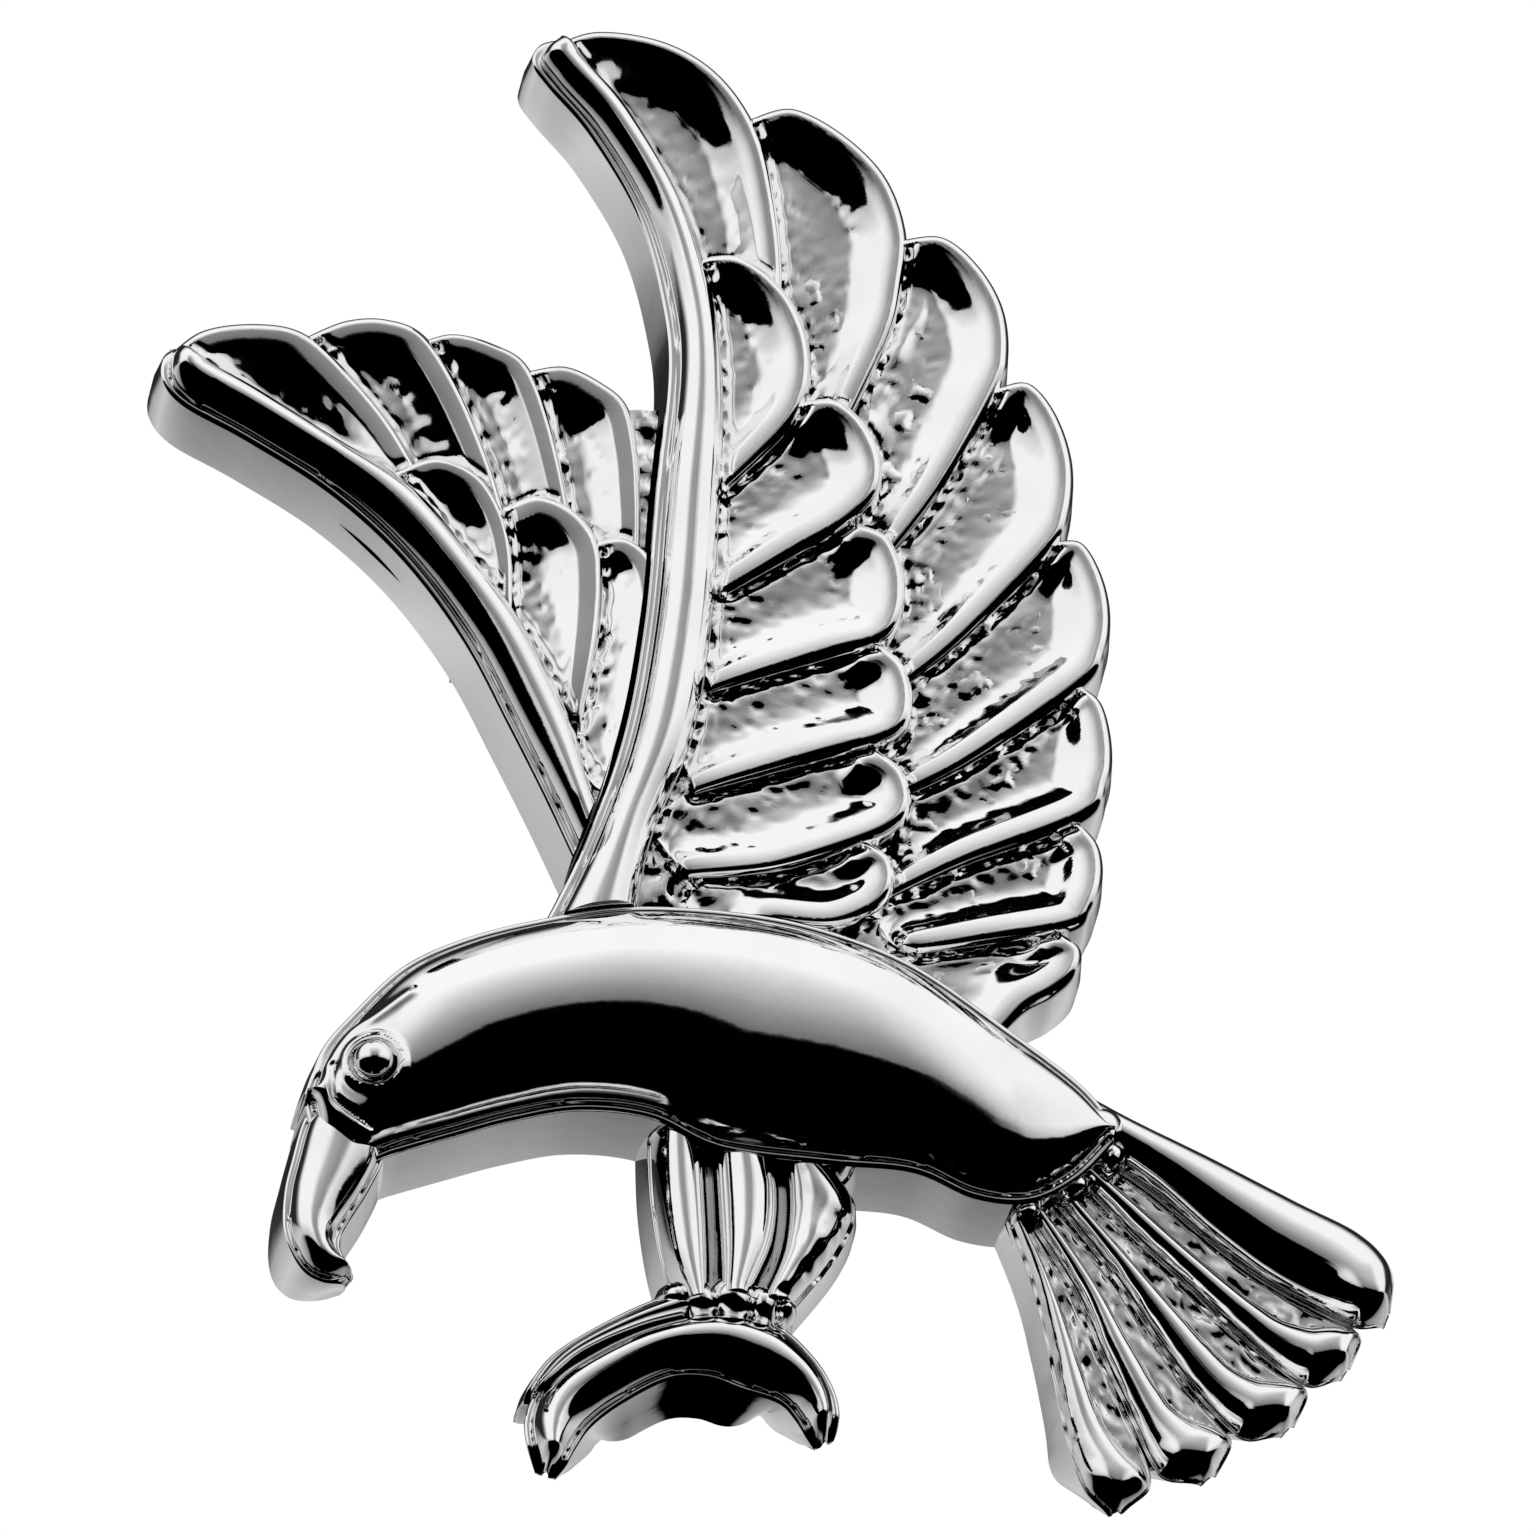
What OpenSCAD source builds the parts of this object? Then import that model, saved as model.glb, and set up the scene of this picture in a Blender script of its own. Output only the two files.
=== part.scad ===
// Eagle brooch: cast eagle with raised wings, soldered from separate castings,
// with a bar pin and a turning safety catch on the back.
// Frame: back rim in the plane y = 0, front towards -Y, head towards -X, wing tips towards +Z.
// The origin is the middle of the pin bar.

/* [Overall size] */
// Overall width of the eagle, wing tip to tail tip
overall_w = 44.7; // [36:0.1:60]
// Overall height of the eagle, wing tip to tail tip
overall_h = 55.5; // [44:0.1:74]

/* [Castings] */
// Depth of the wing side walls, back rim to feather floor
wing_d = 3.3; // [2.6:0.1:5]
// Depth of the body side wall, back rim to shoulder
body_d = 4.2; // [3:0.1:6]
// Height of the domed breast above the shoulder
body_crown = 2.8; // [1.5:0.1:4]
// Depth of the tail side wall
tail_d = 2.7; // [2:0.1:4]
// Depth of the foot and leg side wall
foot_d = 2.6; // [2:0.1:4]
// Step from one feather row up to the next
row_step = 0.5; // [0.3:0.05:0.8]
// Height of the rounded roll along a feather edge
roll_h = 0.75; // [0.4:0.05:1.1]
// Width of that roll
roll_w = 0.95; // [0.5:0.05:1.3]
// Height of the rounded tail feathers
tail_crown = 1.0; // [0.6:0.1:1.6]
// Height of the rounded thighs
thigh_crown = 1.8; // [1:0.1:2.5]
// Height of the rounded talons
talon_crown = 1.6; // [1:0.1:2.2]
// Height of the rounded leading edge of each wing
bead_h = 1.1; // [0.6:0.1:1.6]
// Thickness of metal left over the hollow back
skin = 1.0; // [0.8:0.1:1.6]
// Gap of the butted seams between castings
seam = 0.03; // [0.02:0.01:0.08]
// Radius of the eye ball
eye_r = 0.7; // [0.4:0.05:1]

/* [Pin and catch] */
// Thickness of the bar soldered across the back
bar_t = 0.9; // [0.7:0.1:1.4]
// Width of that bar
bar_w = 4.0; // [3:0.1:5]
// Height of the pin axis above the bar
axis_h = 2.1; // [1.9:0.1:3]
// Radius of the pin wire
wire_r = 0.5; // [0.35:0.05:0.6]
// Length of the taper at the point
point_l = 5.0; // [3:0.1:7]
// Radius of the hinge rivet
rivet_r = 0.45; // [0.35:0.05:0.6]
// Running clearance of the pin on its rivet
run = 0.04; // [0.02:0.01:0.1]
// Width of the knuckle on the pin
knuckle_w = 1.2; // [0.9:0.1:1.6]
// Outer radius of the knuckle
knuckle_r = 1.3; // [1:0.1:1.5]
// Thickness of each hinge ear
ear_t = 0.7; // [0.5:0.05:1]
// Outer radius of the catch housing
catch_r = 1.95; // [1.7:0.05:2.4]
// Thickness of the catch housing wall
catch_t = 0.5; // [0.4:0.05:0.7]
// Length of the catch housing along the pin
catch_l = 3.0; // [2:0.1:4]
// Running clearance of the catch rotor in its housing
catch_run = 0.05; // [0.03:0.01:0.1]

/* [Hidden] */
$fn = 48;

DRAWN_W = 44.7;                    // width the outlines below are drawn to
DRAWN_H = 55.5;                    // height they are drawn to
sx = overall_w / DRAWN_W;
sz = overall_h / DRAWN_H;
// inset, height and stations left off the ends, of each step of a rounded edge
steps = [[0.1, 0.6, 0], [0.3, 1, 1]];
ledge = 0.15;                      // how far a raised form stays back from the edge of the one below
slit = 0.04;                       // half the width of the slits that a casting closes
sink = 0.4;                        // how far a raised form starts below the face it stands on
covert_d = wing_d + row_step;      // floor of the second feather row
bead_d = covert_d + 0.2;           // floor of the leading edge
rise_h = max(axis_h, catch_r + 0.15);  // pin axis above the bar, clear of the catch housing
eye_y = body_d + 0.82 * body_crown - 0.25;  // middle of the eye ball, just under the head's surface
axis_y = bar_t + rise_h;           // pin axis behind the back rim
bar_l = 22.4 * sx;
hinge_x = -9.4 * sx;               // rivet axis
catch_x = 8.0 * sx;                // middle of the catch housing
catch_bore = catch_r - catch_t;
rotor_r = catch_bore - catch_run;
slot_w = 2 * wire_r + 0.4;         // the way in for the pin
flange_t = 0.35;
tab_r = 3.0;                       // middle of the round end of the thumb tab
tab_w = 1.4;
tab_angle = 58;                    // from the way in to the tab
rotor_bore = wire_r + 0.15;
catch_foot = 2.2;
ear_r = 1.2;
ear_base = 0.45;
rivet_head = 0.25;
point_x = catch_x + catch_l / 2 + flange_t + 1.0;
ear_gap = knuckle_w + 2 * run;
METAL = [0.80, 0.80, 0.82];
WIRE = [0.72, 0.73, 0.76];

// ---- outlines, [x, z] in drawn millimetres --------------------------------------------------

near_bead_out = [[-8.6, -13.6], [-6.9, -10.0], [-5.4, -5.6], [-4.6, -1.0], [-4.2, 3.8], [-3.75, 8.4],
                 [-4.0, 11.2], [-4.9, 14.5], [-6.6, 17.5], [-8.1, 19.3], [-8.6, 20.1], [-8.3, 20.8]];
near_bead_in = [[-5.0, -13.6], [-4.4, -9.6], [-2.9, -5.6], [-2.2, -1.4], [-1.9, 3.0], [-1.75, 7.6],
                [-2.1, 11.4], [-3.2, 15.0], [-5.0, 18.2], [-6.4, 19.9], [-7.1, 20.6], [-7.8, 21.1]];
far_bead_out = [[-6.4, -12.0], [-8.0, -8.4], [-9.5, -5.3], [-11.2, -2.0], [-13.4, 1.0],
                [-16.0, 3.4], [-19.0, 5.3], [-21.2, 6.5], [-22.0, 7.4], [-22.0, 8.2]];
far_bead_in = [[-5.0, -12.0], [-6.2, -8.6], [-7.2, -5.1], [-8.8, -1.7], [-10.7, 1.0],
               [-13.0, 3.7], [-15.9, 5.5], [-18.6, 7.2], [-20.4, 8.2], [-21.5, 8.8]];

// Each feather: its exposed edge from the upper end of the tip round to the root, then the hidden root.
near_primaries = [
    [[[-8.1, 20.9], [-6.4, 21.6], [-3.9, 21.3], [-1.9, 20.1], [-0.5, 18.0], [0.15, 15.3], [0.4, 12.5], [0.2, 9.5]],
     [[-1.6, 9.0], [-3.6, 14.5], [-6.0, 18.6]]],
    [[[-0.7, 18.5], [0.8, 18.9], [2.7, 17.9], [4.2, 16.3], [4.9, 14.2], [4.75, 12.2], [4.3, 10.2], [2.7, 6.6]],
     [[1.8, 6.2], [0.2, 9.5], [-0.3, 14.0]]],
    [[[4.7, 14.0], [6.2, 14.15], [7.5, 13.1], [8.4, 11.5], [8.6, 9.7], [8.2, 8.2], [6.2, 4.4], [4.0, 1.4]],
     [[3.2, 3.2], [3.6, 7.5], [4.3, 11.0]]],
    [[[8.1, 8.4], [9.3, 8.65], [10.3, 7.5], [10.9, 5.6], [10.8, 3.6], [10.1, 2.1], [7.0, -1.3], [4.9, -3.1]],
     [[3.8, -2.0], [5.2, 2.6], [7.2, 5.9]]],
    [[[10.2, 2.6], [11.2, 2.6], [11.9, 1.5], [12.25, 0.0], [12.1, -1.6], [11.3, -3.0], [7.4, -5.9], [4.9, -7.3]],
     [[3.6, -6.4], [5.6, -3.0], [8.4, 0.4]]],
    [[[11.2, -2.9], [11.95, -3.6], [12.3, -5.2], [12.15, -6.7], [11.3, -8.1], [7.0, -9.9], [4.2, -11.3]],
     [[3.2, -10.2], [5.2, -7.4], [8.4, -5.2]]],
    [[[11.1, -8.1], [11.8, -9.0], [11.95, -10.2], [11.6, -11.5], [10.8, -12.3], [7.6, -12.9], [5.3, -13.3]],
     [[4.0, -12.6], [4.4, -11.2], [7.2, -9.8]]],
    [[[10.5, -12.4], [11.15, -13.0], [11.0, -14.0], [10.2, -14.8], [9.1, -15.5], [7.6, -17.2]],
     [[5.0, -15.6], [4.4, -13.6], [7.0, -13.0]]]];
near_coverts = [
    [[[-2.7, 12.8], [-1.4, 12.95], [-0.2, 12.3], [0.8, 11.1], [1.35, 9.5], [1.3, 7.8], [0.5, 6.2], [-1.6, 4.0]],
     [[-2.4, 3.6], [-2.8, 8.0]]],
    [[[0.9, 7.4], [2.2, 7.55], [3.3, 6.7], [3.95, 5.2], [3.75, 3.8], [2.6, 2.6], [0.8, 1.5], [-1.6, 0.0]],
     [[-2.3, 0.2], [-2.3, 3.2], [-0.2, 5.2]]],
    [[[3.2, 2.8], [4.2, 2.3], [4.75, 0.9], [4.65, -0.8], [3.9, -1.8], [2.0, -2.4], [-2.2, -3.8]],
     [[-2.6, -1.6], [-2.2, -0.1], [0.8, 1.4]]],
    [[[3.8, -1.7], [4.7, -2.5], [5.05, -3.7], [4.85, -4.9], [4.0, -5.6], [2.0, -6.2], [-2.8, -7.7]],
     [[-3.2, -5.6], [-2.2, -3.7], [0.8, -2.7]]],
    [[[3.8, -5.8], [4.7, -6.6], [5.0, -7.8], [4.5, -8.8], [3.0, -9.6], [0.0, -10.6], [-3.0, -10.9]],
     [[-4.2, -9.0], [-3.0, -7.6], [0.5, -6.8]]],
    [[[3.4, -9.3], [4.2, -9.9], [4.4, -10.8], [4.1, -11.6], [3.4, -12.2], [2.0, -12.7], [0.0, -12.6]],
     [[-3.0, -12.0], [-2.0, -10.8], [0.4, -10.3]]]];
far_primaries = [
    [[[-21.9, 8.4], [-20.6, 9.5], [-18.6, 9.85], [-16.8, 9.5], [-15.0, 7.8], [-13.6, 6.0], [-12.4, 3.8]],
     [[-12.0, 2.2], [-13.6, 2.6], [-16.4, 5.0], [-19.4, 7.0]]],
    [[[-16.9, 9.4], [-15.4, 10.1], [-13.9, 10.2], [-12.5, 9.6], [-11.2, 7.5], [-10.1, 4.7], [-9.4, 2.2]],
     [[-10.4, 1.6], [-12.8, 4.0], [-14.6, 7.2]]],
    [[[-12.7, 9.4], [-11.5, 9.75], [-10.0, 9.4], [-8.8, 8.6], [-7.95, 6.4], [-7.3, 3.3], [-7.1, 1.0]],
     [[-8.6, 0.6], [-9.9, 4.0], [-11.0, 7.2]]],
    [[[-8.9, 8.4], [-7.5, 8.65], [-6.2, 8.1], [-5.2, 7.2], [-4.8, 5.4], [-4.7, 3.0], [-4.8, 0.5]],
     [[-6.6, 0.2], [-7.5, 3.4], [-8.0, 6.4]]]];
far_coverts = [
    [[[-13.8, 4.1], [-12.2, 4.75], [-10.7, 4.2], [-9.8, 2.9], [-9.4, 1.2], [-9.4, -0.9]],
     [[-10.6, 0.4], [-12.0, 2.2]]],
    [[[-9.7, 3.0], [-8.5, 3.45], [-7.2, 2.95], [-6.3, 1.8], [-6.1, 0.2], [-6.3, -2.2], [-6.9, -5.2]],
     [[-8.0, -3.4], [-9.2, -0.8]]],
    [[[-6.4, 1.8], [-5.2, 1.9], [-4.2, 0.8], [-3.9, -1.8], [-4.4, -5.0], [-5.6, -8.4]],
     [[-7.0, -6.0], [-6.4, -2.0]]]];
near_web = [[-2.2, 12.0], [3.6, 13.0], [7.4, 8.0], [10.0, 2.0], [11.0, -4.0], [10.6, -12.0], [7.0, -17.5],
            [-7.6, -14.6], [-6.0, -10.0]];
far_web = [[-12.0, 2.8], [-8.8, 4.2], [-6.0, 7.2], [-3.0, 7.3], [-3.0, -12.6], [-6.2, -12.6], [-8.4, -5.0]];

body_top = [[-16.8, -19.6], [-16.2, -18.0], [-15.2, -16.7], [-13.3, -14.75], [-11.1, -13.6], [-8.5, -12.8],
            [-5.4, -12.2], [-1.9, -12.2], [1.5, -12.7], [5.0, -14.0], [8.5, -16.4], [11.0, -18.3], [12.2, -19.7]];
body_low = [[-16.8, -20.2], [-16.4, -21.4], [-15.2, -22.4], [-13.4, -21.8], [-11.6, -21.2], [-9.4, -20.5],
            [-7.0, -20.0], [-4.4, -20.2], [-1.9, -21.3], [2.0, -21.8], [5.0, -21.7], [8.6, -23.2], [12.2, -20.6]];
beak_out = [[-16.3, -20.6], [-17.2, -22.2], [-17.6, -24.4], [-17.2, -26.2], [-16.0, -26.9], [-15.3, -26.7]];
beak_in = [[-13.7, -21.2], [-14.2, -22.8], [-14.9, -24.3], [-15.4, -25.2], [-15.2, -25.9], [-15.0, -26.4]];
eye_at = [-14.5, -19.0];

left_thigh = [[[-2.4, -20.8], [-2.3, -22.5], [-1.9, -24.8], [-1.4, -26.5]],
              [[-4.4, -19.8], [-4.3, -22.5], [-3.9, -25.1], [-3.3, -26.8]]];
right_thigh = [[[1.9, -20.8], [3.1, -22.6], [2.6, -24.4], [0.9, -26.7]],
               [[-2.4, -20.8], [-2.3, -22.5], [-1.9, -24.8], [-1.4, -26.5]]];
near_talon = [[[-8.5, -32.9], [-8.75, -31.2], [-8.1, -29.7], [-6.6, -28.5], [-4.4, -27.4], [-1.9, -26.8],
               [0.2, -27.2], [1.6, -28.4], [2.4, -29.8], [2.6, -31.3]],
              [[-7.4, -33.2], [-6.9, -32.2], [-6.3, -31.3], [-5.2, -30.4], [-3.6, -29.5], [-2.2, -29.4],
               [-1.0, -29.8], [0.3, -30.2], [0.9, -30.8], [1.5, -31.8]]];
far_talon = [[[-8.9, -30.4], [-7.8, -28.7], [-5.6, -27.2], [-3.6, -26.2]],
             [[-8.1, -30.4], [-6.6, -29.0], [-4.4, -27.9], [-2.4, -27.3]]];

tail_feathers = [
    [[[10.2, -17.6], [13.0, -19.1], [16.0, -20.5], [19.0, -22.0], [21.2, -23.1], [22.3, -24.3], [22.5, -25.6]],
     [[11.2, -20.2], [13.6, -21.8], [15.6, -23.5], [17.6, -25.0], [19.6, -26.1], [21.0, -26.7], [22.1, -26.6]]],
    [[[11.2, -20.2], [13.6, -21.9], [15.6, -23.6], [17.6, -25.1], [19.6, -26.2], [21.2, -26.9], [21.1, -27.8]],
     [[10.6, -21.0], [13.0, -23.5], [14.8, -25.2], [16.6, -26.9], [18.2, -28.3], [19.4, -29.0], [20.5, -28.6]]],
    [[[10.6, -21.2], [12.9, -23.6], [14.7, -25.3], [16.5, -27.0], [18.1, -28.4], [19.3, -29.1], [19.1, -30.1]],
     [[9.8, -21.8], [12.0, -24.6], [13.4, -26.7], [14.9, -28.9], [16.4, -30.6], [17.2, -31.1], [18.3, -30.8]]],
    [[[9.8, -22.0], [11.9, -24.7], [13.3, -26.8], [14.8, -29.0], [16.2, -30.6], [16.6, -31.2], [16.3, -32.1]],
     [[8.9, -22.4], [10.9, -25.7], [11.9, -28.1], [12.9, -30.3], [13.7, -32.1], [14.3, -32.7], [15.4, -32.7]]],
    [[[8.9, -22.4], [10.8, -25.8], [11.8, -28.2], [12.8, -30.4], [13.6, -32.2], [13.6, -33.1], [12.9, -33.7]],
     [[7.6, -20.8], [9.2, -24.8], [9.9, -27.6], [10.4, -30.2], [10.9, -32.2], [11.4, -33.3], [12.1, -33.9]]]];

tail_web = [[9.0, -17.5], [12.6, -19.2], [20.2, -25.6], [18.6, -28.0], [16.0, -30.2], [13.0, -31.8],
            [11.6, -31.4], [9.4, -25.2], [8.0, -22.0]];

near_hollow = [[-6.8, 19.6], [-4.2, 20.0], [-1.9, 17.6], [1.6, 16.4], [3.6, 12.6], [6.8, 10.6], [8.4, 6.4],
               [9.8, 1.6], [10.2, -3.0], [10.0, -8.0], [9.2, -12.4], [7.4, -14.6], [4.2, -12.2], [0.6, -11.0],
               [-4.8, -10.8], [-4.0, -5.6], [-3.2, 0.0], [-2.6, 8.0], [-3.6, 14.0]];
far_hollow = [[-20.8, 7.8], [-17.6, 8.6], [-14.4, 8.6], [-10.6, 8.2], [-7.2, 7.2], [-5.9, 5.2], [-5.9, 0.0],
              [-6.6, -5.6], [-8.4, -4.6], [-10.2, -0.8], [-13.6, 2.8], [-17.6, 5.8]];
body_hollow = [[-14.6, -20.6], [-14.2, -17.6], [-11.4, -15.0], [-5.4, -13.6], [1.4, -14.1], [6.4, -16.6],
               [9.6, -19.6], [7.8, -21.0], [4.8, -20.2], [-1.6, -20.0], [-6.4, -18.8], [-11.4, -19.8]];
tail_hollow = [[12.6, -20.2], [16.8, -22.2], [20.2, -24.0], [19.8, -26.0], [18.2, -27.8], [15.6, -30.2],
               [12.6, -32.0], [11.6, -30.2], [10.8, -26.4], [10.2, -23.6]];

// ---- curves -------------------------------------------------------------------------------

// Point at t on the smooth span b to c, with a and d the points either side
function span(a, b, c, d, t) =
    b + (c - a) * t / 2 + (2 * a - 5 * b + 4 * c - d) * t * t / 2 + (3 * b - a - 3 * c + d) * t * t * t / 2;

// Smooth open line through the points, cut into n steps between each two
function line(pts, n = 2) = let (last = len(pts) - 1) [
    for (i = [0:last - 1], k = [0:n - 1])
        fit(span(pts[max(i - 1, 0)], pts[i], pts[i + 1], pts[min(i + 2, last)], k / n)),
    fit(pts[last])];

// Smooth closed line through the points
function loop(pts, n = 2) = let (c = len(pts)) [
    for (i = [0:c - 1], k = [0:n - 1])
        fit(span(pts[(i + c - 1) % c], pts[i], pts[(i + 1) % c], pts[(i + 2) % c], k / n))];

// Drawn point to the size asked for
function fit(p) = [p.x * sx, p.y * sz];

function reverse(pts) = [for (i = [len(pts) - 1:-1:0]) pts[i]];

// Unit vector to the right of the line at point i
function side(pts, i) = let (
    v = pts[min(i + 1, len(pts) - 1)] - pts[max(i - 1, 0)]) [v.y, -v.x] / norm(v);

// The line moved a distance to its right
function shifted(pts, d) = [for (i = [0:len(pts) - 1]) pts[i] + d * side(pts, i)];

// How full a roll is at t along its feather: quick to rise at the tip, fading to the root
function fullness(t) = pow(sin(180 * pow(t, 0.6)), 0.55);

// Share of the breast's height at t along the body: lower over the head and where the tail joins
function body_fill(t) = min(0.45 + 0.55 * sin(90 * min(1, 2.4 * t)), 0.3 + 0.7 * sin(90 * min(1, 2.4 * (1 - t))));

// ---- forms --------------------------------------------------------------------------------

// Raises a flat outline from depth a to depth b in front of the back rim, with hairline slits closed
module rise(a, b) {
    rotate([90, 0, 0]) translate([0, 0, a]) linear_extrude(b - a)
        offset(delta = -slit) offset(delta = slit) children();
}

// Rounded form between a left and a right edge line, standing on depth base.
// crown is its height at full width and fill its share of that at each station.
module ridge(left, right, base, crown, fill = [], steps = 6) {
    n = len(left);
    k = steps + 3;
    height = [for (i = [0:n - 1]) crown * (len(fill) > 0 ? fill[i] : 1)];
    points = [for (i = [0:n - 1], j = [0:k - 1])
        let (
            a = 180 * min(max(j - 1, 0), steps) / steps,
            p = left[i] + (right[i] - left[i]) * (1 - cos(a)) / 2,
            foot = j == 0 || j == k - 1)
        [p.x, foot ? sink - base : -base - height[i] * sin(a), p.y]];
    sides = [for (i = [0:n - 2], j = [0:k - 1], half = [0, 1])
        let (a = i * k + j, b = i * k + (j + 1) % k)
        half == 0 ? [a, a + k, b + k] : [a, b + k, b]];
    ends = [[for (j = [0:k - 1]) j], [for (j = [k - 1:-1:0]) (n - 1) * k + j]];
    polyhedron(points, concat(sides, ends));
}

// Band of a roll along the exposed edge of a feather, inset from both its sides by a share of
// its width, and from both its ends by a number of stations
module roll_band(edge, inset, ends) {
    outer = line(edge);
    last = len(outer) - 1;
    width = [for (i = [0:last]) roll_w * (0.3 + 0.7 * fullness(0.02 + 0.96 * i / last))];
    polygon(concat([for (i = [ends:last - ends]) outer[i] + (ledge + inset * width[i]) * side(outer, i)],
                   [for (i = [last - ends:-1:ends]) outer[i] + (ledge + (1 - inset) * width[i]) * side(outer, i)]));
}

// Band between two lines, from a to b of the way across, short of both ends by a number of stations
module part_band(left, right, a, b, ends = 0) {
    l = line(left);
    r = line(right);
    last = len(l) - 1;
    polygon(concat([for (i = [ends:last - ends]) l[i] + a * (r[i] - l[i])],
                   [for (i = [last - ends:-1:ends]) l[i] + b * (r[i] - l[i])]));
}

module feather_shape(f) {
    polygon(concat(line(f[0]), [for (p = f[1]) fit(p)]));
}

module band_shape(left, right) {
    polygon(concat(line(left), reverse(line(right))));
}

module body_shape() {
    band_shape(body_top, body_low);
}

module beak_shape() {
    band_shape(beak_in, beak_out);
}

// The body grown by a gap, cut out of everything butted against it
module body_room(gap = seam) {
    for (d = [0, gap]) translate([d, 0])
        polygon(concat(shifted(line(body_top), -gap), reverse(shifted(line(body_low), gap))));
}

module thigh_room() {
    polygon(concat(shifted(line(left_thigh[0]), -seam), reverse(shifted(line(left_thigh[1]), seam))));
    polygon(concat(shifted(line(right_thigh[0]), -seam), reverse(shifted(line(right_thigh[1]), seam))));
}

module near_wing_shape() {
    difference() {
        union() {
            for (f = concat(near_primaries, near_coverts)) feather_shape(f);
            band_shape(near_bead_out, near_bead_in);
            polygon([for (p = near_web) fit(p)]);
        }
        body_room();
    }
}

// What the far wing is cut back from: the body, and all that is right of the near wing's edge
module wing_room(gap = seam) {
    body_room(gap);
    polygon(concat(shifted(line(near_bead_out), -gap), [fit([8, 22]), fit([8, -14])]));
}

module far_wing_shape() {
    difference() {
        union() {
            for (f = concat(far_primaries, far_coverts)) feather_shape(f);
            band_shape(far_bead_out, far_bead_in);
            polygon([for (p = far_web) fit(p)]);
        }
        wing_room();
    }
}

// Raised steps on a wing, each cut back from what the wing is butted against (the child)
module step(a, b) {
    rise(a, b) difference() {
        children(0);
        children(1);
    }
}

// Two rows of feathers and a leading edge on a hollow wing.
// Children: the outline, the hollow, and what the wing is cut back from.
module wing(primaries, coverts, bead_out, bead_in) {
    rise(0, wing_d - skin) difference() {
        children(0);
        children(1);
    }
    rise(wing_d - skin, wing_d) children(0);
    step(wing_d - sink, covert_d) {
        for (f = coverts) feather_shape(f);
        children(2);
    }
    step(wing_d - sink, bead_d) {
        part_band(bead_out, bead_in, 0.04, 0.98);
        children(2);
    }
    // rounded edges, as steps that narrow towards their crest
    for (s = steps) {
        step(wing_d - sink, wing_d + s.y * roll_h) {
            for (f = primaries) roll_band(f[0], s.x, s.z);
            children(2);
        }
        step(covert_d - sink, covert_d + s.y * roll_h) {
            for (f = coverts) roll_band(f[0], s.x, s.z);
            children(2);
        }
        step(bead_d - sink, bead_d + s.y * bead_h) {
            part_band(bead_out, bead_in, s.x, 1 - s.x, s.z);
            children(2);
        }
    }
}

// ---- the castings ---------------------------------------------------------------------------

module near_wing() {
    color(METAL) wing(near_primaries, near_coverts, near_bead_out, near_bead_in) {
        near_wing_shape();
        polygon(loop(near_hollow));
        body_room(seam + ledge);
    }
}

module far_wing() {
    color(METAL) wing(far_primaries, far_coverts, far_bead_out, far_bead_in) {
        far_wing_shape();
        polygon(loop(far_hollow));
        wing_room(seam + ledge);
    }
}

module body() {
    stations = len(line(body_top)) - 1;
    color(METAL) difference() {
        union() {
            rise(0, body_d) {
                body_shape();
                beak_shape();
            }
            ridge(line(body_top), line(body_low), body_d, body_crown,
                  [for (i = [0:stations]) body_fill(i / stations)], 8);
            ridge(line(beak_in), line(beak_out), body_d - 0.2, 1.2);
        }
        rise(-1, body_d - skin) polygon(loop(body_hollow));
        translate([eye_at.x * sx, -eye_y, eye_at.y * sz]) sphere(r = eye_r + seam);
    }
}

module eye() {
    color(METAL) translate([eye_at.x * sx, -eye_y, eye_at.y * sz]) sphere(r = eye_r);
}

// Outline of the tail, closed up to the body behind the first feathers
module tail_shape() {
    difference() {
        union() {
            for (f = tail_feathers) band_shape(f[0], f[1]);
            polygon([for (p = tail_web) fit(p)]);
        }
        body_room();
    }
}

module tail_fan() {
    color(METAL) {
        rise(0, tail_d - skin) difference() {
            tail_shape();
            polygon(loop(tail_hollow));
        }
        rise(tail_d - skin, tail_d) tail_shape();
        difference() {
            for (f = tail_feathers) ridge(line(f[0]), line(f[1]), tail_d, tail_crown);
            rise(0, tail_d + 3) body_room();
        }
    }
}

module thighs() {
    color(METAL) {
        rise(0, foot_d) difference() {
            for (t = [left_thigh, right_thigh]) band_shape(t[0], t[1]);
            body_room();
        }
        difference() {
            for (t = [left_thigh, right_thigh]) ridge(line(t[0]), line(t[1]), foot_d, thigh_crown);
            rise(0, foot_d + 3) body_room();
        }
    }
}

module talons() {
    color(METAL) difference() {
        union() {
            for (t = [near_talon, far_talon]) rise(0, foot_d) band_shape(t[0], t[1]);
            ridge(line(near_talon[0]), line(near_talon[1]), foot_d, talon_crown);
            ridge(line(far_talon[0]), line(far_talon[1]), foot_d, talon_crown - 0.5);
        }
        rise(-1, foot_d + 4) thigh_room();
    }
}

// ---- pin and catch --------------------------------------------------------------------------

// Puts a form drawn along Z on the pin axis, pointing along X
module on_axis(x) {
    translate([x, axis_y, 0]) rotate([90, 0, 90]) children();
}

// Circle of radius r on the pin axis with a way in, w wide, towards the open side
module c_section(r, bore, w) {
    difference() {
        circle(r = r);
        circle(r = bore);
        translate([0, -w / 2]) square([2 * r, w]);
    }
}

module pin_bar() {
    color(WIRE) translate([-bar_l / 2, 0, -bar_w / 2]) cube([bar_l, bar_t, bar_w]);
}

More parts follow.
